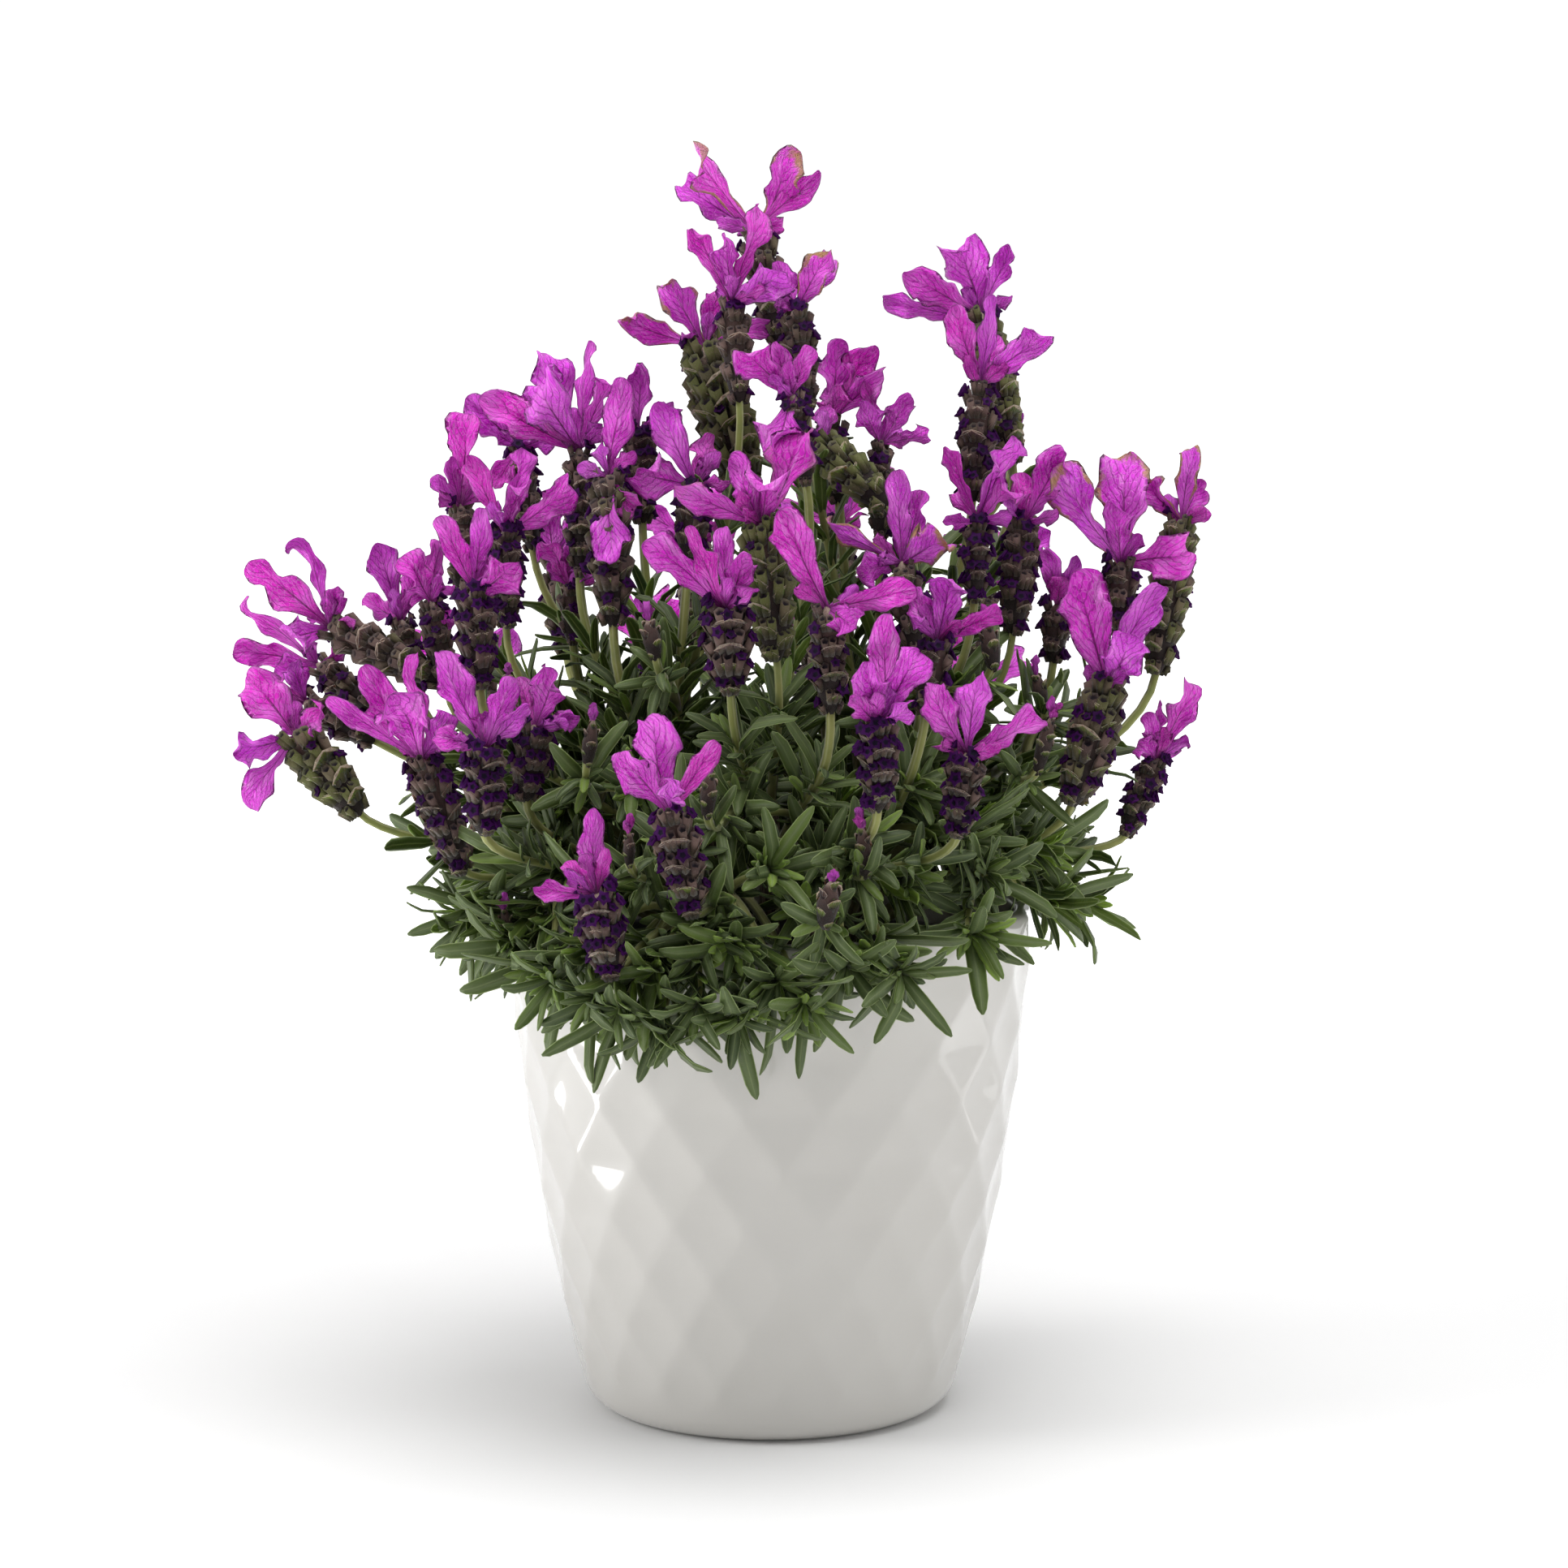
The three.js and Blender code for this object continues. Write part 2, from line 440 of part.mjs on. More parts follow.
// The run of a shoot: out of its root, clear of the rim, and into its end along `heading`, or more from
// the side where it comes down to an end that points up
function shootPath(root, end, heading, bend) {
  const reach = root.distanceTo(end);
  const need = 1 - THREE.MathUtils.smoothstep(root.z, RIM_CARE.lowRoot, RIM_CARE.highRoot);
  const out = mix(root, end, 0.45);
  out.z += RIM_CARE.rise * Math.max(0, RIM_CARE.below - end.z) * need;
  out.z += Math.min(RIM_CARE.arch, 0.2 * reach) + bend;
  const straight = Math.min(THREE.MathUtils.clamp((end.z - 125) * 0.35, 7, 26), 0.4 * reach);
  const arrival = end.clone().sub(out).normalize();
  const aim = heading.clone().addScaledVector(arrival, Math.max(0, 0.6 - arrival.dot(heading))).normalize();
  const last = end.clone().addScaledVector(aim, -straight);
  return new THREE.CubicBezierCurve3(root, out, last, end);
}

// Rings of a square stalk along a path, from a share of the way along it. Their axes are carried down
// from the axes of what stands on the path's end, so that the square never flips over.
function stalkRings(path, heading, slack, from = 0) {
  const rings = [];
  const [side] = crossAxes(heading);
  for (let k = STALK.steps; k >= 0; k -= 1) {
    const share = from + ((1 - from) * k) / STALK.steps;
    const along = path.getTangent(share);
    side.projectOnPlane(along).normalize();
    const axes = [side.clone(), along.clone().cross(side)];
    const ring = ringAbout(path.getPoint(share), along, STALK.sides, () => STALK.radius + slack, () => 0, axes);
    rings.unshift(ring);
  }
  return rings;
}

// Rings of a spike: whorls of scales, each standing out and up beside the gaps of the next
function spikeRings(foot, tip, radius, form) {
  const heading = tip.clone().sub(foot).normalize();
  const length = foot.distanceTo(tip);
  const last = form.swell.length - 1;
  return form.swell.map((swell, k) => {
    const relief = k === last ? 0 : form.relief;
    const lift = k === 0 || k === last ? 0 : (form.lift * length) / last;
    const radiusOf = (j) => radius * swell * (1 + relief * scaleOut(k, j));
    const liftOf = (j) => 0.5 * lift * scaleOut(k, j);
    return ringAbout(mix(foot, tip, k / last), heading, form.sides, radiusOf, liftOf);
  });
}

const scaleOut = (k, j) => ((k + j) % 2 === 0 ? 1 : -1);

// A thin blade closed to a point at both ends. Its sections are flat on top with a keel below; it curls
// along its length, turns about its own line and ripples up and down.
function blade(form, at, slack) {
  const middle = at.heading.clone().normalize();
  const side = at.side.clone().normalize();
  const stations = [0, ...form.rows, 1];
  const rings = [];
  const centre = at.root.clone();
  let before = 0;
  stations.forEach((share, k) => {
    const step = (share - before) * at.length;
    const lean = at.curl * ((share + before) / 2 - 0.5);
    centre.addScaledVector(middle.clone().applyAxisAngle(side, lean), step);
    before = share;
    if (k === 0 || k === stations.length - 1) {
      rings.push([centre.clone()]);
      return;
    }
    const across = side.clone().applyAxisAngle(middle, at.twist * (share - 0.5));
    const under = across.clone().cross(middle).normalize();
    const half = (at.width * form.outline[k - 1]) / 2 + slack;
    const ripple = at.ripple * (k % 2 === 0 ? 1 : -1);
    const line = centre.clone().addScaledVector(under, ripple);
    rings.push([
      line.clone().addScaledVector(across, -half).addScaledVector(under, -slack),
      line.clone().addScaledVector(under, form.thickness + slack),
      line.clone().addScaledVector(across, half).addScaledVector(under, -slack),
    ]);
  });
  return skin(rings, outwardFold(rings));
}

// One bract of a tuft, from its row in the list; `way` leans it nearer or farther to pass its neighbours
function bract(form, root, [degrees, toward, length, width], place, way, slack) {
  const turn = THREE.MathUtils.degToRad(degrees);
  const heading = vector(Math.sin(turn), -toward - way.lean, Math.cos(turn)).normalize();
  const side = heading.clone().cross(vector(0, 1, 0)).normalize();
  side.applyAxisAngle(heading, spread(place, 0.6));
  const at = {
    root, heading, side, length: length * way.length, width,
    curl: spread(place + 0.3, 0.9), twist: spread(place + 0.6, 0.9), ripple: 0.7,
  };
  return blade(form, at, slack);
}

const BRACT_WAYS = [
  { lean: 0, length: 1 }, { lean: 0.25, length: 1 }, { lean: -0.25, length: 1 },
  { lean: 0.5, length: 1 }, { lean: -0.5, length: 1 }, { lean: 0.8, length: 0.9 },
  { lean: -0.8, length: 0.9 }, { lean: 0.3, length: 0.7 }, { lean: -0.3, length: 0.7 },
  { lean: 1.4, length: 0.7 }, { lean: -1.4, length: 0.7 }, { lean: 0.4, length: 0.5 },
  { lean: -0.4, length: 0.5 },
];

// A tuft: a knob just off the spike's tip, with its bracts sunk in it
function tuft(bloom, number, rivals) {
  const tip = vectorFrom(bloom.tip);
  const heading = tip.clone().sub(vectorFrom(bloom.foot)).normalize();
  const foot = tip.clone().addScaledVector(heading, SEAT);
  const top = tip.clone().addScaledVector(heading, KNOB.height);
  const root = mix(foot, top, 0.3);
  const pieces = [skin([ringAbout(foot, heading, KNOB.sides, () => KNOB.foot), [top]])];
  bloom.bracts.slice(0, TUFT.most).forEach((row, k) => {
    const form = k < TUFT.broad ? BRACT : LESSER_BRACT;
    const make = (way, slack) => bract(form, root, row, 7 * number + k + 1, way, slack);
    const piece = firstClear(BRACT_WAYS, make, rivals);
    if (piece) {
      pieces.push(piece);
    }
  });
  return grownTogether(pieces);
}

// Where leaves stand on a flower stalk and on a leafy shoot: shares of the way along it
const BLOOM_LEAVES = [0.42, 0.64];
const SHOOT_LEAVES = [0.7, 0.84, 0.93, 0.975];

const LEAF_WAYS = [0, 0.6, -0.6, 1.2, -1.2, 1.9, -1.9, 2.6, -2.6];

// Leaves along a shoot, each turned from the last, and turned clear of everything but its own stalk
function leavesOn(shoot, rivals) {
  const leaves = [];
  shoot.leaves.forEach((share, k) => {
    const root = shoot.path.getPoint(share);
    const along = shoot.path.getTangent(share).normalize();
    const place = shoot.place + 0.37 * k;
    const make = (way, slack) => {
      const [first, second] = crossAxes(along);
      const turn = 2.4 * k + 6.28 * chance(shoot.place) + way;
      const out = first.multiplyScalar(Math.cos(turn)).addScaledVector(second, Math.sin(turn));
      const heading = out.addScaledVector(along, 0.7 + 0.6 * chance(place)).normalize();
      const side = heading.clone().cross(along).normalize();
      const length = LEAF.length * (0.8 + 0.35 * chance(place + 0.2));
      const at = { root, heading, side, length, width: LEAF.width, ripple: 0 };
      at.curl = 0.5 + spread(place + 0.1, 0.4);
      at.twist = spread(place + 0.3, 0.4);
      return blade(LEAF, at, slack);
    };
    const leaf = firstClear(LEAF_WAYS, make, [...rivals, ...leaves]);
    if (leaf) {
      leaves.push(boxed(leaf));
    }
  });
  return leaves;
}

// Every shoot of the plant: where it ends, which way it points there, and what it carries
function shootList() {
  const shoots = [];
  const spiked = (tipAt, footAt, radius, form, more) => {
    const foot = vectorFrom(footAt);
    const tip = vectorFrom(tipAt);
    const heading = tip.clone().sub(foot).normalize();
    shoots.push({ end: foot, heading, spike: spikeRings(foot, tip, radius, form), ...more });
  };
  BLOOMS.forEach(({ tip, foot, radius }, number) => {
    spiked(tip, foot, radius, SPIKE, { flowers: true, place: number + 1, leaves: BLOOM_LEAVES });
  });
  BUDS.forEach(([tip, foot, radius], number) => {
    spiked(tip, foot, radius, BUD, { place: number + 101, leaves: [] });
  });
  const leafy = (end, rise) => {
    const heading = vector(end.x, end.y, rise).normalize();
    shoots.push({ end, heading, place: shoots.length + 201, leaves: SHOOT_LEAVES });
  };
  FRONT_SHOOTS.forEach((end) => leafy(vectorFrom(end), FRONT_DIP));
  for (let k = 0; k < FILL_SHOOTS.count; k += 1) {
    const share = k / (FILL_SHOOTS.count - 1);
    const radius = THREE.MathUtils.lerp(FILL_SHOOTS.outer, FILL_SHOOTS.inner, share);
    const z = THREE.MathUtils.lerp(FILL_SHOOTS.low, FILL_SHOOTS.high, share);
    const golden = (0.618 * (k + 1)) % 1;
    const turn = THREE.MathUtils.lerp(FILL_SHOOTS.fromTurn, FILL_SHOOTS.toTurn, golden);
    leafy(around(turn, radius, z), FILL_RISE);
  }
  return shoots;
}

// A whole shoot in one skin: its stalk, and its spike or a plain tip
function shootBody(shoot) {
  const rings = stalkRings(shoot.path, shoot.heading, 0);
  if (!shoot.spike) {
    rings.splice(-1, 1, [shoot.end]);
    return skin(rings);
  }
  const first = rings.length;
  return skin([...rings, ...shoot.spike], (k, j) => k >= first && (k - first + j) % 2 === 0);
}

const PATH_WAYS = [0, 4, -4, 8, 12, -8, 17, 22, 28];

// The path of a shoot, arched a little more or less so that its stalk passes all other branches and, once
// clear of its root, its own branch too where there is room
function clearPath(shoot, own, others) {
  const end = shoot.end.clone().addScaledVector(shoot.heading, shoot.spike ? -STALK.neck : 0);
  const paths = PATH_WAYS.map((bend) => shootPath(shoot.root, end, shoot.heading, bend));
  const clears = (path, pieces, from) => {
    const test = boxed(skin(stalkRings(path, shoot.heading, SEAT, from)));
    return !pieces.some((piece) => meet(test, piece));
  };
  const passable = paths.filter((path) => clears(path, others, 0));
  const free = passable.find((path) => clears(path, own, STALK.free));
  return free ?? passable[0] ?? paths[0];
}

// Where each flower stalk leaves its woody stem: the lower the flower, the lower its root
function placeRoots(shoots) {
  for (let k = 0; k < STEM.count; k += 1) {
    const ranked = shoots.filter((shoot) => shoot.stem === k).sort((a, b) => a.end.z - b.end.z);
    ranked.forEach((shoot, rank) => {
      shoot.root = stemPoint(k, THREE.MathUtils.lerp(ROOTS.low, ROOTS.high, rank / (ranked.length - 1)));
    });
  }
}

// Where a side shoot leaves the flower stalk that passes nearest to it, though not right beside its end
function sideRoot(shoot, stalks) {
  const share = THREE.MathUtils.lerp(ROOTS.sideLow, ROOTS.sideHigh, chance(shoot.place));
  const points = stalks.map((other) => other.path.getPoint(share))
    .filter((point) => point.distanceTo(shoot.end) > ROOTS.leastReach);
  points.sort((a, b) => a.distanceTo(shoot.end) - b.distanceTo(shoot.end));
  return points[0];
}

// The plant: woody stems with their shoots, spikes and leaves, and the tufts on the open spikes
function plant(pots) {
  const woody = Array.from({ length: STEM.count }, (_, k) => boxed(woodyStem(k, 0)));
  const shoots = shootList();
  for (const shoot of shoots) {
    shoot.stem = stemFor(shoot.end);
    shoot.body = shoot.spike ? boxed(skin(shoot.spike)) : null;
  }
  const standing = (test) => shoots.filter((shoot) => shoot.body && test(shoot)).map((shoot) => shoot.body);
  const flowering = shoots.filter((shoot) => shoot.flowers);
  placeRoots(flowering);
  for (const shoot of shoots) {
    shoot.root ??= sideRoot(shoot, flowering.filter((other) => other.stem === shoot.stem));
    const own = standing((other) => other.stem === shoot.stem && other !== shoot);
    const strangers = standing((other) => other.stem !== shoot.stem);
    const others = [...pots, ...woody.toSpliced(shoot.stem, 1), ...strangers];
    shoot.path = clearPath(shoot, own, others);
    shoot.body = boxed(shootBody(shoot));
  }
  const tufts = [];
  BLOOMS.forEach((bloom, number) => {
    tufts.push(boxed(tuft(bloom, number, [...pots, ...standing(() => true), ...tufts])));
  });
  const branches = woody.map((stem, k) => [stem, ...standing((shoot) => shoot.stem === k)]);
  for (const shoot of shoots) {
    const rivals = [...pots, ...tufts, ...branches.flat().filter((piece) => piece !== shoot.body)];
    branches[shoot.stem].push(...leavesOn(shoot, rivals));
  }
  return { branches, tufts };
}

// A named mesh of one solid in its own finish
function mesh(name, body, finish) {
  const { vertProperties, triVerts } = body.getMesh();
  const geometry = new THREE.BufferGeometry();
  geometry.setAttribute("position", new THREE.BufferAttribute(vertProperties, 3));
  geometry.setIndex(new THREE.BufferAttribute(triVerts, 1));
  geometry.computeVertexNormals();
  const part = new THREE.Mesh(geometry, new THREE.MeshStandardMaterial({ ...finish, flatShading: true }));
  part.name = name;
  return part;
}

const FINISH = {
  glaze: { color: 0xd3d1ca, roughness: 0.18, metalness: 0 },
  plastic: { color: 0x1b1c1b, roughness: 0.55, metalness: 0 },
  earth: { color: 0x33261b, roughness: 0.95, metalness: 0 },
  green: { color: 0x56663f, roughness: 0.8, metalness: 0 },
  violet: { color: 0xb146bd, roughness: 0.6, metalness: 0 },
};

const pottedLavender = new THREE.Group();
const pots = { cover_pot: coverPot(), nursery_pot: growingPot(), soil: soil() };
pottedLavender.add(
  mesh("cover_pot", pots.cover_pot, FINISH.glaze),
  mesh("nursery_pot", pots.nursery_pot, FINISH.plastic),
  mesh("soil", pots.soil, FINISH.earth),
);
const { branches, tufts } = plant(Object.values(pots).map(boxed));
branches.forEach((branch, k) => {
  const body = grownTogether(branch.map((piece) => piece.solid));
  pottedLavender.add(mesh(`leafy_stem_${k + 1}`, body, FINISH.green));
});
tufts.forEach((piece, k) => {
  pottedLavender.add(mesh(`bracts_${BLOOMS[k].name}`, piece.solid, FINISH.violet));
});

export default pottedLavender;
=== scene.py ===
import math

import bpy
import numpy as np
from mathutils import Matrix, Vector


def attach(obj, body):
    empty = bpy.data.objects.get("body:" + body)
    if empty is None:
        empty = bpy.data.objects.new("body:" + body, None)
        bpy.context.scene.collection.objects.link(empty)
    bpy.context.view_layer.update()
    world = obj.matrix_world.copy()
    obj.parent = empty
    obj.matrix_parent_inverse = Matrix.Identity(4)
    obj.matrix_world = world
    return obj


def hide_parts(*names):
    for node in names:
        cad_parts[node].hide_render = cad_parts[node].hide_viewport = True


# A Spanish lavender in flower, in its black growing pot inside a white faceted cover pot. Shapes are
# worked out in millimetres, +Z up, from the middle of the cover pot's flat underside, and become metres
# as they are put into a mesh. The plant's best side faces -Y.
MM = 0.001

# Cover pot: its outside is a net of tall diamonds in staggered rows, and its radius swells with height
COVER = {"height": 140, "foot": 50.4, "flare": 0.268, "bow": -0.00079, "sides": 20, "rows": 9,
         "wall": 5, "floor": 6, "first_corner": -95.6}
STEP, RISE = 360 / COVER["sides"], COVER["height"] / COVER["rows"]
# Its glazed surface: the foot's rounding, where the facets fade in above it, the rim's rounding, how far
# a facet's edge is rounded, as a share of the facet, how much the fired relief is deepened, the plain
# wall's share of the corners' radius, and the rounding between inner wall and floor
GLAZE = {"foot_round": 6.5, "fade_from": 5, "fade_to": 17, "rim_round": 2.3, "edge": 0.04, "relief": 1.8,
         "plain": 0.994, "inner_round": 10}
# How finely it is cut: steps in a facet and in a rounding, rows up the inner wall and where they start
# below the rim, and how far in from the wall the rings of the flat discs lie
CUT = {"facet": 8, "arc": 9, "inner_rows": 20, "inner_drop": 6, "disc": (30, 18)}

# Growing pot: thin tapered plastic with a turned-out lip. Its flat parts close at the disc's radius
INNER = {"bottom": 6.3, "height": 121, "foot": 42.5, "top": 59.5, "wall": 1.2, "lip": 2.6, "lip_height": 6,
         "rows": 14, "around": 144, "disc": 20}

# Soil: fills the growing pot to a little below its lip, with lumps on top. Crumbs lie on it: at least the
# first size, at most both together, each cut at the listed rises
SOIL = {"drop": 9, "dome": 2.5, "seat": 0.3, "lump": 0.4, "rows": 36, "around": 150,
        "crumbs": 520, "crumb_size": (0.7, 1.5), "crumb_rise": (-55, -10, 30, 62)}

# Woody stems, and where the flower stalks and side shoots leave them, as shares of the way along
STEM = {"count": 5, "first_turn": -90, "ring": 13, "reach": 30, "bottom": 92, "top": 172,
        "thick": 3.3, "thin": 2.4, "rows": 26, "around": 16}
ROOTS = {"low": 0.42, "high": 0.97, "side_low": 0.22, "side_high": 0.5, "least_reach": 15}

# How a shoot runs. It leaves toward a point this share of the way out, raised by an arch, which is a share
# of its reach up to a limit, and more for low ends, to clear the rim. It arrives straight over a distance
# that grows with its end's height above a level, between two limits and under a share of its reach
COURSE = {"out": 0.45, "arch": 6, "arch_share": 0.2, "below": 178, "rise": 0.72, "low_root": 130,
          "high_root": 155, "level": 125, "gain": 0.35, "least": 7, "most": 26, "straight_share": 0.4}

# Square stalks, which reach a little way into the spike or bud they carry. A stalk starts as this share
# of the radius and thins by the next, a leafy shoot by more; wood ends at a share of the way along
STALK = {"radius": 1.25, "ridge": 0.13, "seat": 1.6, "rows": 14, "around": 8, "taper": (1.1, 0.2),
         "leafy_taper": (1.05, 0.6), "wood": 0.35}

# Spikes and buds: the share of the full radius at even steps from foot to tip, and the height of a whorl
SPIKE = {"swell": (0.62, 0.94, 1.0, 0.95, 0.64), "whorl": 3.1}
BUD = {"swell": (0.6, 1.0, 0.45), "whorl": 2.5, "look": (0.45, 0, 0)}
# The axis inside a spike: rows, points around, and its share of the spike's radius
CORE = {"rows": 9, "around": 8, "girth": 0.74}
# A scale's section, as places across and the side each lies on (1 outside, -1 inside), and its rows
SCALE = {"across": (1, 0.55, 0, -0.55, -1, 0), "face": (1, 1, 1, 1, 1, -1), "along": (0, 0.35, 0.65, 0.88, 1)}
# Rings of a calyx tube: where they stand, how wide they are, and how deep in the throat, where the
# calyx paint lays painted shade. Then, how the three tubes at a scale are turned from it, and the
# spike's radius at which a tube has full size
CALYX = {"along": (0, 1, 0.8), "girth": (1.15, 1.28, 0.6), "throat": (0, 0.3, 1), "ribs": 5,
         "turns": (-0.5, 0.0, 0.5), "full_at": 5.4}
# Rings of a floret: where they stand, their plain and their lobed radius, and how far out on the disc.
# Last, the share of the florets that the look's number opens
FLORET = {"along": (-1, 0.55, 0.95, 0.45), "plain": (0.5, 0, 0, 0.5), "lobed": (0, 2.1, 2, 0),
          "share": (0.3, 1, 0.9, 0), "lobes": 5, "open": 0.82}

# Leaves: length, width, the half-width at each share of the length, and the section, as for scales.
# Then, how steeply a leaf starts (least, more by chance, more when young) and how far it arches out
# (middle, either way by chance, less when young)
LEAF = {"length": 22.5, "width": 4.1, "along": (0, 0.22, 0.52, 0.8, 0.94, 1),
        "outline": (0.36, 0.82, 1, 0.87, 0.54, 0.17),
        "across": (1, 0.5, 0, -0.5, -1, 0), "face": (0.4, 1, 1, 1, 0.4, -1),
        "lift": (0.7, 0.85, 0.5), "bow": (0.75, 0.55, 0.35)}
# Leaf nodes of a flower stalk, a bud's stalk and a leafy shoot: how far along they stand, the leaves'
# size, and how young they are toward the tip
NODES = [(np.linspace(0.24, 0.64, 6), 0.95, 0.25), (np.linspace(0.35, 0.8, 4), 0.75, 0.4),
         (np.array([0.42, 0.56, 0.68, 0.79, 0.88, 0.95, 0.995]), 1.0, 0.9)]
# The leaves of one node, as turn and size: a pair, and three smaller ones in its angles
NODE_LEAVES = [(0, 1), (3.14, 1), (0.6, 0.62), (3.8, 0.55), (-0.7, 0.5)]
# Leaves are left out that come into the soil, or this close to the pot's wall inside, outside or above
CLEAR = {"soil_level": 119, "soil_radius": 66, "inside": 3, "outside": 0.6, "above": 0.5}

# Bracts: a blade bends as it grows, so it is longer than it reaches. Then, the claw's share of the width,
# the part of the length where it is broadest, its last rows, how finely each kind is cut, as rows and
# samples across, and how far it may roll about its heading, curl, curl at its tip and twist
BRACT = {"stretch": 1.13, "claw": 0.2, "broadest": 0.66, "last_rows": (0.91, 0.95, 0.98, 1),
         "fine": (18, 9), "small": (9, 5), "bud": (6, 5),
         "roll": 0.6, "curl": 0.9, "tip_curl": 1.5, "twist": 1.3}
# The short bracts of a tuft: how many, how far they may turn and lean, their least length and what
# chance adds, and their width. Last, how far all are sunk in the spike, how many of the listed dry
# fully, and the share by which the others do
TUFT = {"small": 3, "turn": 80, "lean": 0.9, "length": 7, "longer": 4, "width": 4.2, "sink": 0.6,
        "dry": 2, "less_dry": 0.35}

